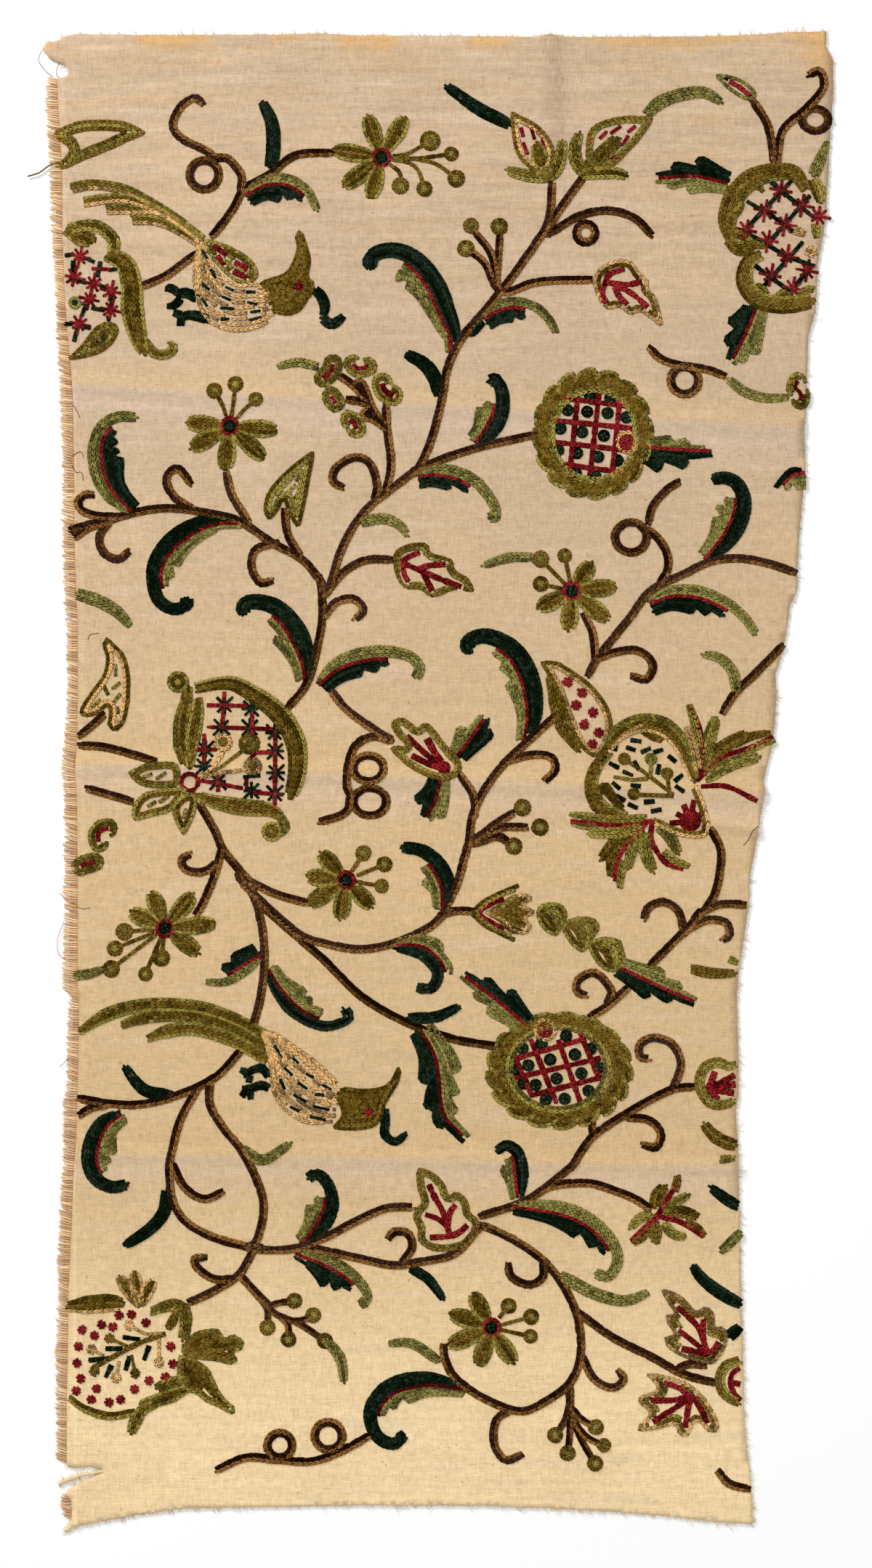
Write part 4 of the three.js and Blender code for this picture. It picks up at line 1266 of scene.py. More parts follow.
def grain_template(sides=4):
    """One chain link: two plump strands that leave its foot side by side and spread towards its
    head, where the next link's foot sits between them. Each is a closed spindle: rings round a
    bowed line, with a point at each end. A low mound in the same wool's material lies under the
    two and closes the gap between them; that material paints it dark, as painted shade in the gap.
    Each point has its place along and across the link and its height, and for a ring its radius
    across and up, then its share of the strand's length, or the mark PAINTED_SHADE_MOUND for the
    mound, and the cosine and sine of its angle."""
    station = np.array([0.32, 0.70])
    line = np.array([-0.80, -0.26, 0.34, 0.74])
    bow = np.array([0.04, 0.24, 0.60, 0.66])
    rise = np.array([0.30, 1.05, 0.95, 0.15])
    thick = np.array([0.86, 0.80])
    angle = 2 * math.pi * np.arange(sides) / sides
    points, faces, twist = [], [], []
    for hand in (-1.0, 1.0):
        base = len(points)
        points.append((line[0], hand * bow[0], rise[0], 0, 0))
        twist.append((0.0, 0.0, 1.0))
        for k in range(2):
            for a in angle:
                points.append((line[k + 1], hand * bow[k + 1], rise[k + 1],
                               hand * thick[k] * math.cos(a), thick[k] * math.sin(a)))
                twist.append((station[k], math.cos(a), math.sin(a)))
        points.append((line[3], hand * bow[3], rise[3], 0, 0))
        twist.append((1.0, 0.0, 1.0))
        last = base + 1 + 2 * sides
        for j in range(sides):
            n = (j + 1) % sides
            tris = [(base, base + 1 + n, base + 1 + j)]
            a, b = base + 1 + j, base + 1 + n
            tris += [(a, b, b + sides), (a, b + sides, a + sides)]
            tris.append((last, last - sides + j, last - sides + n))
            faces += tris if hand < 0 else [t[::-1] for t in tris]
    base = len(points)
    corners = [(along, across, 0.05) for along, across in ((-0.64, -0.96), (0.64, -0.96), (0.64, 0.96),
        (-0.64, 0.96))]
    for corner in corners + [(0.0, 0.0, 1.15)]:
        points.append((*corner, 0, 0))
        twist.append((PAINTED_SHADE_MOUND, 0.0, 0.0))
    faces += [tuple(base + k for k in t) for t in ((0, 1, 4), (1, 2, 4), (2, 3, 4), (3, 0, 4), (0, 2, 1),
        (0, 3, 2))]
    return np.array(points), np.array(faces), np.array(twist)


def links_of(wool, link, rng):
    """Each link of a wool's rows: its middle, its direction, its length, and its shade."""
    middles, ways, lengths, shades, widths = [], [], [], [], []
    for line, width in rows[wool]:
        reach = np.concatenate([[0], np.cumsum(np.hypot(*np.diff(line, axis=0).T))])
        bends = np.abs(np.diff(np.unwrap(np.arctan2(*np.diff(line, axis=0).T[::-1])))).sum()
        wanted = np.clip(bends / 0.5, reach[-1] / link * rng.uniform(0.9, 1.12), reach[-1] / 3.2)
        count = max(1, int(round(wanted)))
        size = reach[-1] / count
        at = np.arange(count) + 0.5 + rng.uniform(-0.3, 0.3) * (count > 2)
        at = (at + rng.normal(0, 0.06, count)) * size
        ends = [np.stack([np.interp(at + d, reach, line[:, k]) for k in (0, 1)], 1)
                for d in (-0.35 * size, 0.35 * size)]
        way = ends[1] - ends[0]
        way /= np.maximum(1e-9, np.hypot(*way.T))[:, None]
        if rng.random() < 0.5:
            way = -way
        middles.append((ends[0] + ends[1]) / 2)
        ways.append(way)
        lengths.append(np.full(count, size))
        widths.append(np.interp(at, reach, width))
        shades.append(np.clip(0.5 + 0.20 * rng.standard_normal() + 0.20 * rng.standard_normal(count), 0, 1))
    return [np.concatenate(part) for part in (middles, ways, lengths, shades, widths)]


def wool_piece(name, links, sizes, rng):
    """A mesh of chain links: the template turned along its row, at its place, on the cloth."""
    middles, ways, lengths, shades, widths = links
    template, faces, twist = grain_template()
    count, size = len(middles), len(template)
    normal = np.stack([-ways[:, 1], ways[:, 0]], 1)
    spread = widths * (0.5 + 0.04 * rng.standard_normal(count))
    strand = sizes.strand * (0.35 + 0.65 * widths / ROW) * (1 + 0.06 * rng.standard_normal(count))
    along = template[None, :, 0] * lengths[:, None]
    across = template[None, :, 1] * spread[:, None] + template[None, :, 3] * (strand / UNIT)[:, None]
    places = (middles[:, None] + ways[:, None] * along[..., None] + normal[:, None] * across[..., None])
    flat = places.reshape(-1, 2)
    high = top_of(flat).reshape(count, size)
    high += template[None, :, 2] * sizes.relief + template[None, :, 4] * strand[:, None]
    points = np.concatenate([metres(flat), high.reshape(-1, 1)], 1)
    index = (faces[None] + np.arange(count)[:, None, None] * size).reshape(-1, 3)
    yarn = np.broadcast_to(twist[None], (count, size, 3)).reshape(-1, 3)
    dye = np.repeat(shades, size)
    return new_piece(name, points, index, {"dye": dye, "yarn": yarn})


class Nodes:
    """A short way to build a material: add() makes a node, sets its inputs and links into them."""

    def __init__(self, name):
        self.material = bpy.data.materials.new(name)
        self.material.use_nodes = True
        self.tree = self.material.node_tree
        self.tree.nodes.clear()

    def add(self, kind, settings=None, **inputs):
        node = self.tree.nodes.new("ShaderNode" + kind)
        for key, value in (settings or {}).items():
            setattr(node, key, value)
        for key, value in inputs.items():
            numbered = key[0] == "i" and key[1:].isdigit()
            socket = node.inputs[int(key[1:]) if numbered else key.replace("_", " ")]
            if isinstance(value, bpy.types.NodeSocket):
                self.tree.links.new(value, socket)
            else:
                socket.default_value = value
        return node.outputs[0] if node.outputs else None

    def math(self, operation, a, b=0.0, c=0.0):
        return self.add("Math", {"operation": operation}, i0=a, i1=b, i2=c)

    def times(self, a, b):
        return self.math("MULTIPLY", a, b)

    def plus(self, a, b):
        return self.math("ADD", a, b)

    def minus(self, a, b):
        return self.math("SUBTRACT", a, b)

    def scaled(self, value, factor, added):
        return self.math("MULTIPLY_ADD", value, factor, added)

    def mix(self, factor, a, b, blend="MIX"):
        node = self.tree.nodes.new("ShaderNodeMix")
        node.data_type = "RGBA"
        node.blend_type = blend
        for k, value in ((0, factor), (6, a), (7, b)):
            if isinstance(value, bpy.types.NodeSocket):
                self.tree.links.new(value, node.inputs[k])
            else:
                node.inputs[k].default_value = value if k == 0 else (*value, 1.0)[:4]
        return node.outputs[2]

    def ramp(self, value, low, high):
        """0 below low, 1 above high, and smooth between them."""
        node = self.tree.nodes.new("ShaderNodeMapRange")
        node.interpolation_type = "SMOOTHSTEP"
        self.tree.links.new(value, node.inputs[0])
        node.inputs[1].default_value = low
        node.inputs[2].default_value = high
        return node.outputs[0]

    def noise(self, place, scale, detail=2.0, rough=0.5):
        return self.add("TexNoise", Vector=place, Scale=scale, Detail=detail, Roughness=rough)

    def stretched(self, place, scale):
        return self.add("Mapping", Vector=place, Scale=scale)

    def finish(self, colour, rough, height=None, distance=0.0, sheen=0.0):
        settings = {"Base_Color": colour, "Roughness": rough, "Specular_IOR_Level": 0.04,
                    "Sheen_Weight": sheen, "Sheen_Roughness": 0.5}
        if height is not None:
            settings["Normal"] = self.add("Bump", Strength=1.0, Distance=distance, Height=height)
        shader = self.add("BsdfPrincipled", None, **settings)
        self.add("OutputMaterial", None, Surface=shader)
        return self.material


def wool_finish(wool, colour):
    """Two-ply wool: a shade for each stitch, painted shade in the grooves between its twisted plies,
    on the lower sides of its strands and at the ends of each link, the mound under each link painted
    dark as the shade between its strands, and a soft nap.
    """
    n = Nodes("wool_" + wool)
    place = n.tree.nodes.new("ShaderNodeTexCoord").outputs["Object"]
    dye = n.tree.nodes.new("ShaderNodeAttribute")
    dye.attribute_name = "dye"
    yarn = n.tree.nodes.new("ShaderNodeAttribute")
    yarn.attribute_name = "yarn"
    split = n.tree.nodes.new("ShaderNodeSeparateXYZ")
    n.tree.links.new(yarn.outputs["Vector"], split.inputs[0])
    round_it = n.math("ARCTAN2", split.outputs[2], split.outputs[1])
    turn = n.scaled(split.outputs[0], 17.0, n.times(round_it, 2.0))
    # Painted shade: the ply stripes darken the grooves between the twisted plies; the same stripes also
    # give the bump.
    ply = n.scaled(n.math("SINE", turn), 0.5, 0.5)
    # Picks out the mound's points, which are painted dark further down as the shade between the strands.
    bed = n.math("GREATER_THAN", split.outputs[0], 5.0)
    ply = n.times(ply, n.minus(1.0, bed))
    nap = n.noise(place, 1700.0, 3.0, 0.7)
    patch = n.noise(place, 60.0, 2.0)
    light = n.scaled(dye.outputs["Fac"], 1.40, 0.33)
    light = n.scaled(patch, 0.40, n.minus(light, 0.20))
    light = n.scaled(nap, 0.90, n.minus(light, 0.45))
    light = n.times(light, n.scaled(ply, 0.34, 0.84))
    # Painted shade: each strand is darker on its lower side and lighter on top, as light from above would
    # make it.
    top = n.scaled(n.ramp(split.outputs[2], -0.4, 0.9), 0.40, 0.66)
    # Painted shade at both ends of each link, where it tucks under the next; strand below is the product of
    # both painted shades.
    from_middle = n.math("ABSOLUTE", n.scaled(split.outputs[0], 2.0, -1.0))
    ends = n.scaled(n.math("POWER", from_middle, 3.0), -0.30, 1.0)
    strand = n.times(top, ends)
    # Painted shade: the mound is painted at 0.30 of the tone, and each strand by its painted shading.
    light = n.times(light, n.scaled(bed, n.minus(0.30, strand), strand))
    base = tuple(colour)
    pale = tuple(min(1.0, c * 1.7 + 0.015) for c in colour)
    dark = tuple(c * 0.35 for c in colour)
    tone = n.mix(n.ramp(light, 0.2, 0.95), dark, base)
    tone = n.mix(n.ramp(light, 0.85, 1.6), tone, pale)
    height = n.scaled(ply, 0.6, nap)
    return n.finish(tone, 0.92, height, 0.00012)


def cloth_finish(sizes, colours):
    """Old twill: slanting ribs, uneven threads, coloured streaks across the cloth, golden stains along
    its top, pale or yellow bands beside the creases and small specks; painted light and shade in
    random blotches for small puckers and in streaks for fine wrinkles, strongest near the top and
    bottom; and painted shade along the short upright fold at the top."""
    n = Nodes("twill_cloth")
    place = n.tree.nodes.new("ShaderNodeTexCoord").outputs["Object"]
    split = n.tree.nodes.new("ShaderNodeSeparateXYZ")
    n.tree.links.new(place, split.inputs[0])
    x, y = split.outputs[0], split.outputs[1]
    wobble = n.noise(place, 60.0, 2.0)
    slant = n.plus(n.times(x, 0.82), n.times(y, 0.57))
    turn = n.scaled(slant, 2 * math.pi / sizes.weave, n.times(wobble, 9.0))
    rib = n.scaled(n.math("SINE", turn), 0.5, 0.5)
    warp = n.noise(n.stretched(place, (1.0, 0.10, 1.0)), 1500.0, 1.0)
    weft = n.noise(n.stretched(place, (0.10, 1.0, 1.0)), 1500.0, 1.0)
    threads = n.plus(warp, weft)
    streak = n.noise(n.stretched(place, (0.12, 1.0, 1.0)), 110.0, 3.0, 0.6)
    cloud = n.noise(place, 9.0, 4.0, 0.55)
    fall = n.scaled(n.minus(cloud, 0.5), 0.12, n.times(y, -1.0))
    tone = n.mix(n.ramp(fall, -0.32, 0.10), tuple(colours.upper_cloth), tuple(colours.lower_cloth))
    tone = n.mix(n.ramp(fall, 0.25, 0.46), tone, (0.867, 0.654, 0.370))
    tone = n.mix(n.times(n.ramp(cloud, 0.45, 0.75), 0.35), tone, (0.66, 0.46, 0.25))
    top = n.ramp(y, 0.30, 0.45)
    tone = n.mix(n.times(n.times(n.ramp(streak, 0.5, 0.72), top), 0.40), tone, (0.62, 0.38, 0.19))
    tone = n.mix(n.times(n.ramp(streak, 0.50, 0.28), 0.25), tone, (0.72, 0.56, 0.44))
    uneven = n.scaled(n.minus(wobble, 0.5), 0.016, y)
    patches = n.ramp(n.noise(n.stretched(place, (1.0, 2.0, 1.0)), 16.0, 2.0), 0.44, 0.56)
    edge = n.times(n.ramp(uneven, 0.500, 0.511), patches)
    corner = n.ramp(n.plus(x, y), 0.735, 0.775)
    tone = n.mix(n.times(n.math("MAXIMUM", edge, corner), 0.62), tone, tuple(colours.stain))
    for start, end, _, _ in CREASES[:3]:
        (x0, y0), (x1, y1) = metres(start), metres(end)
        slope = (y1 - y0) / (x1 - x0)
        above = n.minus(n.minus(y, n.times(n.minus(x, x0), slope)), y0)
        above = n.scaled(n.minus(cloud, 0.5), 0.006, above)
        warm = n.times(n.ramp(above, -0.001, 0.002), n.ramp(above, 0.030, 0.004))
        cool = n.times(n.ramp(above, 0.001, -0.001), n.ramp(above, -0.034, -0.006))
        tone = n.mix(n.times(warm, 0.30), tone, (0.66, 0.44, 0.20))
        tone = n.mix(n.times(cool, 0.30), tone, (0.64, 0.50, 0.41))
    speck = n.noise(place, 420.0, 0.0)
    tone = n.mix(n.times(n.ramp(speck, 0.80, 0.88), 0.6), tone, (0.35, 0.20, 0.10))
    # Painted light and shade: random lighter and darker blotches stand for the shading of small puckers.
    pucker_shade_mottle = n.noise(place, 260.0, 3.0, 0.6)
    fine = n.scaled(threads, 0.44, n.scaled(rib, 0.17, 0.325))
    fine = n.scaled(pucker_shade_mottle, 0.30, fine)
    # Painted light and shade of fine wrinkles: streaks across the cloth, strongest near its top and bottom.
    wrinkle_light_shade = n.noise(n.stretched(place, (0.07, 1.0, 1.0)), 260.0, 3.0, 0.6)
    ends = n.math("MAXIMUM", n.ramp(y, 0.26, 0.42), n.times(n.ramp(y, -0.34, -0.46), 0.6))
    fine = n.plus(fine, n.times(n.minus(wrinkle_light_shade, 0.5), n.scaled(ends, 0.34, 0.12)))
    # Painted shade along the short upright fold at the top: the cloth is darker beside its line.
    beside_fold = n.math("ABSOLUTE", n.minus(x, metres((763, 0))[0]))
    fold_painted_shade = n.times(n.ramp(beside_fold, 0.013, 0.002), n.ramp(y, 0.40, 0.46))
    fine = n.scaled(fold_painted_shade, -0.13, fine)
    aside = n.math("ABSOLUTE", n.minus(n.scaled(y, 0.0035, x), metres((100.5, 1260))[0]))
    fine = n.scaled(n.times(n.ramp(aside, 0.0016, 0.0004), n.ramp(y, 0.26, 0.22)), 0.09, fine)
    tone = n.mix(1.0, tone, n.add("CombineXYZ", None, X=fine, Y=fine, Z=fine), "MULTIPLY")
    height = n.scaled(threads, 0.6, rib)
    return n.finish(tone, 0.95, height, 0.00010, sheen=0.05)


def thread_finish(name, colour, dark, sheen=0.0):
    """Cotton thread: a shade for each strand, varied by a fine nap and by soft clouds."""
    n = Nodes(name)
    place = n.tree.nodes.new("ShaderNodeTexCoord").outputs["Object"]
    dye = n.tree.nodes.new("ShaderNodeAttribute")
    dye.attribute_name = "dye"
    nap = n.noise(place, 2200.0, 2.0, 0.6)
    cloud = n.noise(place, 30.0, 2.0)
    mixed = n.scaled(nap, 0.5, n.scaled(cloud, 0.4, n.minus(dye.outputs["Fac"], 0.45)))
    tone = n.mix(n.ramp(mixed, 0.05, 0.95), dark, colour)
    return n.finish(tone, 0.93, nap, 0.00008, sheen=sheen)


# Pieces


def cloth_outline():
    """The cloth's outline in layout units, read from the solid: the edges of its underside that
    only one underside face has, joined end to end."""
    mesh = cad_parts["ground_cloth"].data
    co = np.empty(len(mesh.vertices) * 3)
    mesh.vertices.foreach_get("co", co)
    loops = np.empty(len(mesh.loops), int)
    mesh.loops.foreach_get("vertex_index", loops)
    tris = co.reshape(-1, 3)[loops].reshape(-1, 3, 3)
    normal = np.cross(tris[:, 1] - tris[:, 0], tris[:, 2] - tris[:, 0])
    tris = tris[normal[:, 2] < -0.3 * np.linalg.norm(normal, axis=1)]
    places, index = np.unique(np.round(tris[..., :2].reshape(-1, 2) / 2e-6), axis=0, return_inverse=True)
    index = index.reshape(-1, 3)
    edges = np.concatenate([index[:, [0, 1]], index[:, [1, 2]], index[:, [2, 0]]])
    ordered = {tuple(e) for e in edges.tolist()}
    follow = {a: b for a, b in ordered if (b, a) not in ordered}
    chains = []
    while follow:
        start, at = follow.popitem()
        chain = [start]
        while at != start and at in follow:
            chain.append(at)
            at = follow.pop(at)
        chains.append(chain)
    longest = max(chains, key=len)
    return layout(places[longest] * 2e-6)


def tubes(lines, radii, sides=5):
    """Closed tubes along many lines of equal count: a ring of points round each place of a line,
    across its direction, and a point at each end."""
    lines = np.asarray(lines, float)
    many, count = lines.shape[:2]
    tangent = np.gradient(lines, axis=1)
    tangent /= np.maximum(1e-12, np.linalg.norm(tangent, axis=2))[..., None]
    up = np.array([0.0, 0.0, 1.0]) + 0.02 * tangent[..., [1, 2, 0]]
    aside = np.cross(tangent, up)
    aside /= np.maximum(1e-12, np.linalg.norm(aside, axis=2))[..., None]
    over = np.cross(aside, tangent)
    angle = 2 * math.pi * np.arange(sides) / sides
    radii = np.broadcast_to(radii, (many, count))[..., None, None]
    ring = (lines[:, :, None] + radii * (np.cos(angle)[None, None, :, None] * aside[:, :, None]
                                         + np.sin(angle)[None, None, :, None] * over[:, :, None]))
    points = np.concatenate([lines[:, :1], ring.reshape(many, -1, 3), lines[:, -1:]], 1)
    size = points.shape[1]
    j = np.arange(sides)
    n = (j + 1) % sides
    faces = [np.stack([np.zeros(sides, int), 1 + n, 1 + j], 1)]
    for k in range(count - 1):
        a, b = 1 + k * sides + j, 1 + k * sides + n
        faces += [np.stack([a, b, b + sides], 1), np.stack([a, b + sides, a + sides], 1)]
    last = size - 1
    faces.append(np.stack([np.full(sides, last), last - sides + j, last - sides + n], 1))
    faces = np.concatenate(faces)
    index = (faces[None] + np.arange(many)[:, None, None] * size).reshape(-1, 3)
    return points.reshape(-1, 3), index, size


class CREWEL_OT_stage(bpy.types.Operator):
    """Lays a pale floor, hangs soft lamps and looks straight down at the cloth"""

    bl_idname = "crewel.stage"
    bl_label = "Stage"

    def execute(self, context):
        middle = metres((PHOTO_WIDTH / 2, PHOTO_HEIGHT / 2))
        floor = new_piece("floor", [(-6, -6, 0), (6, -6, 0), (6, 6, 0), (-6, 6, 0)], [(0, 1, 2), (0, 2, 3)])
        floor.location.z = -0.0001
        n = Nodes("pale_floor")
        grain = n.noise(n.tree.nodes.new("ShaderNodeTexCoord").outputs["Object"], 12.0)
        tone = n.mix(n.times(grain, 0.05), (0.98, 0.98, 0.98), (0.95, 0.95, 0.95))
        floor.data.materials.append(n.finish(tone, 0.9))
        camera = bpy.data.cameras.new("camera")
        camera.sensor_fit = "AUTO"
        camera.sensor_width = 36.0
        far = 3.2
        camera.lens = 36.0 * far / (PHOTO_HEIGHT * UNIT)
        camera.clip_end = 100.0
        holder = bpy.data.objects.new("camera", camera)
        holder.location = (middle[0], middle[1], far + CLOTH_THICKNESS)
        context.scene.collection.objects.link(holder)
        context.scene.camera = holder
        for name, place, size, power in (
            ("key_lamp", (-1.9, 2.1, 1.7), 0.8, 78.0),
            ("fill_lamp", (2.2, -1.0, 2.4), 2.6, 18.0),
            ("top_lamp", (0.0, 0.0, 3.6), 2.0, 20.0),
        ):
            lamp = bpy.data.lights.new(name, "AREA")
            lamp.size = size
            lamp.energy = power
            hung = bpy.data.objects.new(name, lamp)
            hung.location = place
            hung.rotation_mode = "QUATERNION"
            hung.rotation_quaternion = Vector(place).to_track_quat("Z", "Y")
            context.scene.collection.objects.link(hung)
        world = bpy.data.worlds.new("pale_room")
        world.use_nodes = True
        world.node_tree.nodes["Background"].inputs[0].default_value = (1.0, 1.0, 1.0, 1.0)
        world.node_tree.nodes["Background"].inputs[1].default_value = 0.50
        context.scene.world = world
        context.scene.view_settings.view_transform = "Standard"
        return {"FINISHED"}


class CREWEL_OT_ground_cloth(bpy.types.Operator):
    """Lays the creased twill: a net of points inside the cloth's own outline, lifted by its
    creases and wrinkles, with an underside and an edge"""

    bl_idname = "crewel.ground_cloth"
    bl_label = "Ground cloth"

    def execute(self, context):
        sizes, colours = context.scene.crewel_sizes, context.scene.crewel_colours
        rough = cloth_outline()
        rng = np.random.default_rng(11)
        line = even(np.vstack([rough, rough[:1]]), 5.0)[:-1]
        ring = len(line)
        columns, lines = np.arange(40, 1160, 13.0), np.arange(42, 2115, 5.6)
        net = np.stack(np.meshgrid(columns, lines), -1).reshape(-1, 2)
        net += rng.uniform(-0.6, 0.6, net.shape)
        gaps = np.full(len(net), 1e9)
        inside = np.zeros(len(net), bool)
        ends = np.roll(line, -1, 0)
        for (ax, ay), (bx, by) in zip(line, ends):
            way = np.array([bx - ax, by - ay])
            at = np.clip(((net - (ax, ay)) @ way) / max(1e-9, way @ way), 0, 1)
            gaps = np.minimum(gaps, np.hypot(*(net - (ax, ay) - at[:, None] * way).T))
            crosses = (ay > net[:, 1]) != (by > net[:, 1])
            if crosses.any():
                inside ^= crosses & (net[:, 0] < ax + (net[:, 1] - ay) / (by - ay + 1e-12) * (bx - ax))
        net = net[inside & (gaps > 2.4)]
        places = np.vstack([line, net])
        rim = [(k, (k + 1) % ring) for k in range(ring)]
        got = geometry.delaunay_2d_cdt([Vector(p) for p in places], rim, [], 1, 1e-4)
        flat = np.array([tuple(p) for p in got[0]])
        faces = np.array([f for f in got[2] if len(f) == 3])
        a, b, c = flat[faces].transpose(1, 0, 2)
        clockwise = (b[:, 0] - a[:, 0]) * (c[:, 1] - a[:, 1]) - (b[:, 1] - a[:, 1]) * (c[:, 0] - a[:,
            0]) > 0
        faces[clockwise] = faces[clockwise][:, ::-1]
        count = len(flat)
        xy = metres(flat)
        upper = np.column_stack([xy, top_of(flat)])
        lower = np.column_stack([xy, lift(flat)])
        pairs = np.concatenate([faces[:, [0, 1]], faces[:, [1, 2]], faces[:, [2, 0]]])
        known = {tuple(p) for p in pairs.tolist()}
        open_edges = np.array([p for p in known if (p[1], p[0]) not in known])
        p, q = open_edges.T
        walls = np.concatenate([np.stack([q, p, p + count], 1), np.stack([q, p + count, q + count], 1)])
        piece = new_piece("twill_ground", np.vstack([upper, lower]),
            np.concatenate([faces, faces[:, ::-1] + count, walls]))
        piece.data.materials.append(cloth_finish(sizes, colours))
        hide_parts("ground_cloth")
        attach(piece, "root")
        return {"FINISHED"}


def selvedge_at(down):
    """Where the selvedge lies at a place down the cloth."""
    table = pairs(54,39.5, 71,39.9, 95,41.0, 115,42.9, 161,42.9, 200,44.5, 227,46.2, 254,48.9, 274,50.2,
        320,50.9, 388,51.5, 427,53.5, 480,53.5, 507,53.2, 532,51.5, 548,52.9, 600,53.5, 682,53.4, 688,54.4,
        707,54.4, 747,53.5, 788,52.2, 813,50.2, 840,49.5, 867,48.2, 894,46.9, 925,46.9, 965,46.0, 1009,45.9,
        1031,48.6, 1046,49.2) * 2
    return np.interp(down, *table.T)


def fringe_at(down):
    """How far out the fringe reaches at a place down the cloth."""
    table = pairs(54,32.0, 71,31.4, 95,32.4, 115,33.5, 161,35.5, 200,37.5, 227,38.8, 254,40.2, 274,41.5,
        320,42.8, 388,43.3, 427,45.4, 480,46.2, 507,44.8, 532,41.8, 548,44.2, 600,44.2, 640,43.5, 682,42.9,
        688,48.0, 707,46.3, 747,46.2, 757,43.4, 788,43.9, 813,42.4, 840,41.2, 867,39.7, 894,40.2, 925,38.2,
        965,38.7, 1009,39.0, 1031,42.6, 1038,41.3, 1046,43.6) * 2
    return np.interp(down, *table.T)


class CREWEL_OT_fringe(bpy.types.Operator):
    """Draws the loops of weft at the selvedge: each leaves the cloth, bows up and turns down at
    its tip, a little out of line with its neighbours"""

    bl_idname = "crewel.fringe"
    bl_label = "Selvedge fringe"

    def execute(self, context):
        rng = np.random.default_rng(5)
        colours = context.scene.crewel_colours
        dark = tuple(c * k for c, k in zip(colours.fringe, (0.58, 0.46, 0.38)))
        material = thread_finish("weft_fringe", tuple(colours.fringe), dark)
        for name, node, first, last in (
            ("selvedge_loops", "selvedge_fringe", 109.5, 2016.0),
            ("tab_loops", "tab_fringe", 2063.0, 2091.0),
        ):
            downs = np.arange(first, last, 3.3)
            many = len(downs)
            t = np.linspace(0, 1, 6)[None]
            start = selvedge_at(downs)[:, None] + 1.5
            reach = selvedge_at(downs)[:, None] - fringe_at(downs)[:, None] + rng.normal(0, 1.1, (many, 1))
            lean = (2.4 * np.sin(downs / 17) - 3.0 + rng.normal(0, 1.0, many))[:, None]
            across = start - (reach + 1.5) * t
            down = downs[:, None] + lean * t + rng.normal(0, 0.35, (many, 6)) * t
            bow = 0.0009 * np.sin(math.pi * np.clip(t * 1.05, 0, 1))
            high = 0.0006 + bow * (1 + 0.3 * rng.standard_normal((many, 1)))
            high = np.maximum(high, 0.0005)
            xy = metres(np.stack([across, down], -1))
            lines = np.concatenate([xy, high[..., None]], -1)
            radius = 0.00066 * (1 + 0.12 * rng.standard_normal((many, 1)))
            radius = radius * np.array([1, 1, 1, 1.05, 1.05, 0.7])
            points, faces, size = tubes(lines, radius, 5)
            shade = np.repeat(np.clip(rng.normal(0.5, 0.2, many), 0, 1), size)
            bed = np.arange(first, last, 12.0)
            edge = np.stack([selvedge_at(bed) - 0.6, bed], 1)
            rim = np.stack([selvedge_at(bed) - 0.55 * (selvedge_at(bed) - fringe_at(bed)), bed], 1)
            corners = np.concatenate([metres(edge), metres(rim)])
            count = len(bed)
            strip_points = np.concatenate([np.column_stack([corners,
                np.full(2 * count, z)]) for z in (0.0007, 0.0)])
            k = np.arange(count - 1)
            two = 2 * count
            quads = [
                (k, k + count, k + count + 1, k + 1),
                (k + two, k + 1 + two, k + count + 1 + two, k + count + two),
                (k, k + 1, k + 1 + two, k + two),
                (k + count + 1, k + count, k + count + two, k + count + 1 + two),
            ]
            ends = [(0, two, two + count, count), (count - 1, 2 * count - 1, two + 2 * count - 1,
                two + count - 1)]
            quads += [tuple(np.array([v]) for v in e) for e in ends]
            bed_faces = np.concatenate(
                [np.stack(corners, 1) for a, b, c, d in quads for corners in ((a, b, c), (a, c, d))])
            everything = np.vstack([points, strip_points])
            index = np.vstack([faces, bed_faces + len(points)])
            shade = np.concatenate([shade, np.full(len(strip_points), 0.45)])
            piece = new_piece(name, everything, index, {"dye": shade})
            piece.data.materials.append(material)
            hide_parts(node)
            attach(piece, "root")
        return {"FINISHED"}


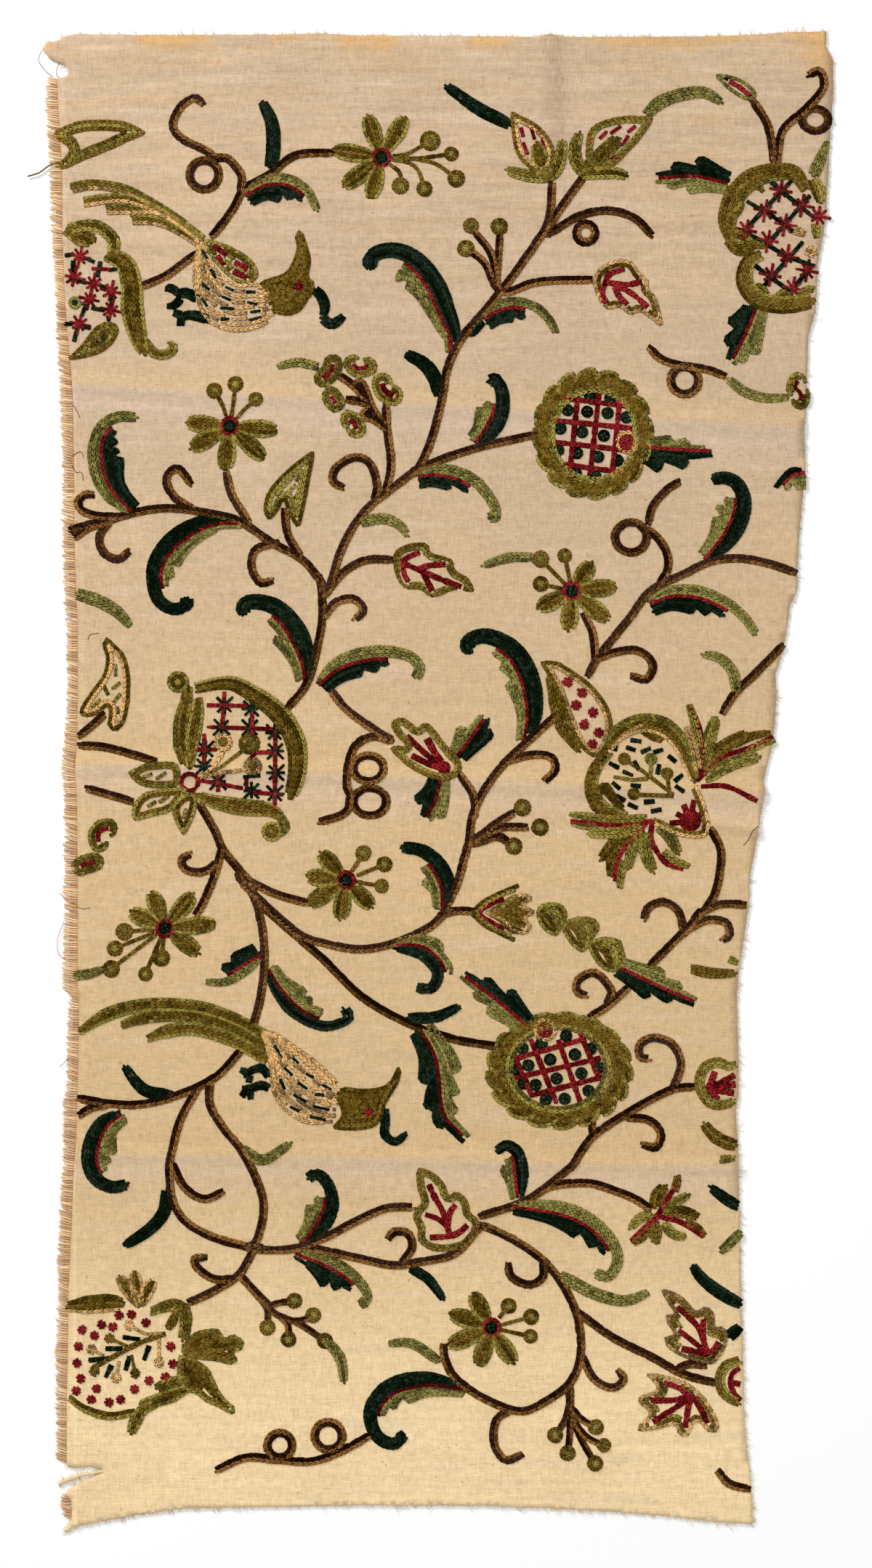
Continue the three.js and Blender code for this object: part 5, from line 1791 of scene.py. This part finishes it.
class CREWEL_OT_frayed_edges(bpy.types.Operator):
    """Pulls short ends of thread out of the three cut edges and the torn corners"""

    bl_idname = "crewel.frayed_edges"
    bl_label = "Frayed edges"

    def execute(self, context):
        rng = np.random.default_rng(23)
        line = cloth_outline()
        line = even(np.vstack([line, line[:1]]), 1.0)
        way = heading(line)
        inside_turn = np.sign(np.sum(line[:-1, 0] * line[1:, 1] - line[:-1, 1] * line[1:, 0]))
        outward = -inside_turn * np.stack([-way[:, 1], way[:, 0]], 1)
        selvedge = (line[:, 0] < 112) & (line[:, 1] > 112) & (line[:, 1] < 2008)
        pick = np.flatnonzero(~selvedge)
        pick = pick[rng.random(len(pick)) < 0.42]
        many = len(pick)
        t = np.linspace(0, 1, 4)[None, :, None]
        base = line[pick][:, None] - outward[pick][:, None] * 2.0
        reach = np.clip(rng.gamma(2.2, 1.5, many), 1.2, 11)[:, None, None]
        drift = rng.normal(0, 0.35, (many, 1, 1)) * way[pick][:, None]
        places = base + (outward[pick][:, None] + drift * t) * (reach + 2.0) * t
        places += rng.normal(0, 0.25, places.shape) * t
        high = np.clip(0.0009 + rng.normal(0, 0.0003, (many, 1)) * t[..., 0] + lift(places), 0.0003, None)
        lines = np.concatenate([metres(places), high[..., None]], -1)
        radius = 0.00022 * (1 + 0.25 * rng.standard_normal((many, 1))) * np.array([1, 1, 0.9, 0.5])
        points, faces, size = tubes(lines, np.abs(radius), 3)
        shade = np.repeat(np.clip(rng.normal(0.75, 0.2, many), 0, 1), size)
        piece = new_piece("frayed_ends", points, faces, {"dye": shade})
        colours = context.scene.crewel_colours
        dark = tuple(c * 0.5 for c in colours.fringe)
        piece.data.materials.append(thread_finish("frayed_thread", (0.84, 0.70, 0.50), dark))
        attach(piece, "root")
        return {"FINISHED"}


class CREWEL_OT_loose_threads(bpy.types.Operator):
    """Lays the stray threads: brown curls on the selvedge, a dark thread at the right edge, the
    torn corner's knotted threads and a tail of olive wool"""

    bl_idname = "crewel.loose_threads"
    bl_label = "Loose threads"

    def execute(self, context):
        threads = (
            ("stray_thread_1", "bark", 0.00020, ((95, 556), (103, 561), (110, 575))),
            ("stray_thread_2", "bark", 0.00020, ((94, 634), (102, 626), (112, 622), (115, 630))),
            ("stray_thread_3", "bark", 0.00020, ((96, 632), (104, 650), (112, 650), (115, 662))),
            ("stray_thread_4", "bark", 0.00018, ((121, 881), (124, 874), (136, 872))),
            ("stray_thread_5", "tan", 0.00018, ((82, 1230), (95, 1240), (112, 1251), (124, 1250))),
            ("stray_thread_6", "bark", 0.00016, ((88, 1270), (80, 1290), (80, 1312), (90, 1322))),
            ("stray_thread_7", "bark", 0.00016, ((82, 1469), (90, 1462), (102, 1448))),
            ("stray_thread_8", "bark", 0.00022, ((1043, 1138), (1036, 1144), (1030, 1156), (1023, 1164))),
            ("corner_thread_1", "bark", 0.00020, ((60, 66), (53, 82), (62, 97), (73, 106))),
            ("corner_thread_2", "bark", 0.00020, ((82, 86), (78, 96), (78, 106))),
            ("wool_tail", "olive", 0.00055, ((82, 224), (68, 228), (54, 238), (38, 243))),
        )
        finishes = {}
        for name, wool, radius, places in threads:
            line = even(smooth(places), 3.0)
            high = np.maximum(top_of(line) + radius * 0.8, radius * 2)
            off = line[:, 0] < selvedge_at(line[:, 1]) - 2
            high = np.where(off, 0.0011 + radius, high)
            points, faces, size = tubes(np.column_stack([metres(line), high])[None], radius, 5)
            piece = new_piece(name, points, faces, {"dye": np.full(len(points), 0.6)})
            if wool not in finishes:
                dark = tuple(c * 0.4 for c in WOOLS[wool])
                finishes[wool] = thread_finish("stray_" + wool, WOOLS[wool], dark)
            piece.data.materials.append(finishes[wool])
            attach(piece, "root")
        return {"FINISHED"}


class CREWEL_OT_wool_work(bpy.types.Operator):
    """Works every row of chain stitch, one piece or more for each wool"""

    bl_idname = "crewel.wool_work"
    bl_label = "Wool work"

    def execute(self, context):
        sizes = context.scene.crewel_sizes
        rng = np.random.default_rng(7)
        for draw in DRAWINGS:
            draw()
        for wool, colour in WOOLS.items():
            links = links_of(wool, sizes.link / UNIT, rng)
            order = np.argsort(links[0][:, 1], kind="stable")
            parts = np.array_split(order, math.ceil(len(order) / MOST_LINKS_A_PIECE))
            finish = wool_finish(wool, colour)
            for k, part in enumerate(parts):
                name = f"{WOOL_SLOTS[wool]}_{k + 1}" if len(parts) > 1 else WOOL_SLOTS[wool]
                piece = wool_piece(name, [values[part] for values in links], sizes, rng)
                piece.data.materials.append(finish)
                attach(piece, "root")
        return {"FINISHED"}


class CREWEL_PT_panel(bpy.types.Panel):
    """Lists the pieces of the embroidery panel"""

    bl_idname = "CREWEL_PT_panel"
    bl_label = "Crewel panel"
    bl_space_type = "VIEW_3D"
    bl_region_type = "UI"
    bl_category = "Crewel"

    def draw(self, context):
        for name in STEPS:
            self.layout.operator("crewel." + name)
        for group in (context.scene.crewel_sizes, context.scene.crewel_colours):
            for key in group.bl_rna.properties.keys():
                if key not in ("rna_type", "name"):
                    self.layout.prop(group, key)


DRAWINGS = (
    stems,
    plain_leaves,
    fronds,
    small_leaves,
    flowers,
    left_fruit,
    right_fruit,
    starred_fruit,
    dashed_fruit,
    round_fruits,
    dotted_fruit,
    upper_bird,
    lower_bird,
    grown_stems,
)
STEPS = ("stage", "fringe", "ground_cloth", "frayed_edges", "loose_threads", "wool_work")
CLASSES = (
    CrewelSizes,
    CrewelColours,
    CREWEL_OT_stage,
    CREWEL_OT_ground_cloth,
    CREWEL_OT_fringe,
    CREWEL_OT_frayed_edges,
    CREWEL_OT_loose_threads,
    CREWEL_OT_wool_work,
    CREWEL_PT_panel,
)


def register():
    for cls in CLASSES:
        bpy.utils.register_class(cls)
    bpy.types.Scene.crewel_sizes = bpy.props.PointerProperty(type=CrewelSizes)
    bpy.types.Scene.crewel_colours = bpy.props.PointerProperty(type=CrewelColours)


def unregister():
    del bpy.types.Scene.crewel_colours
    del bpy.types.Scene.crewel_sizes
    for cls in reversed(CLASSES):
        bpy.utils.unregister_class(cls)


def main():
    register()
    for name in STEPS:
        getattr(bpy.ops.crewel, name)()
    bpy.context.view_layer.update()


if __name__ == "__main__":
    main()
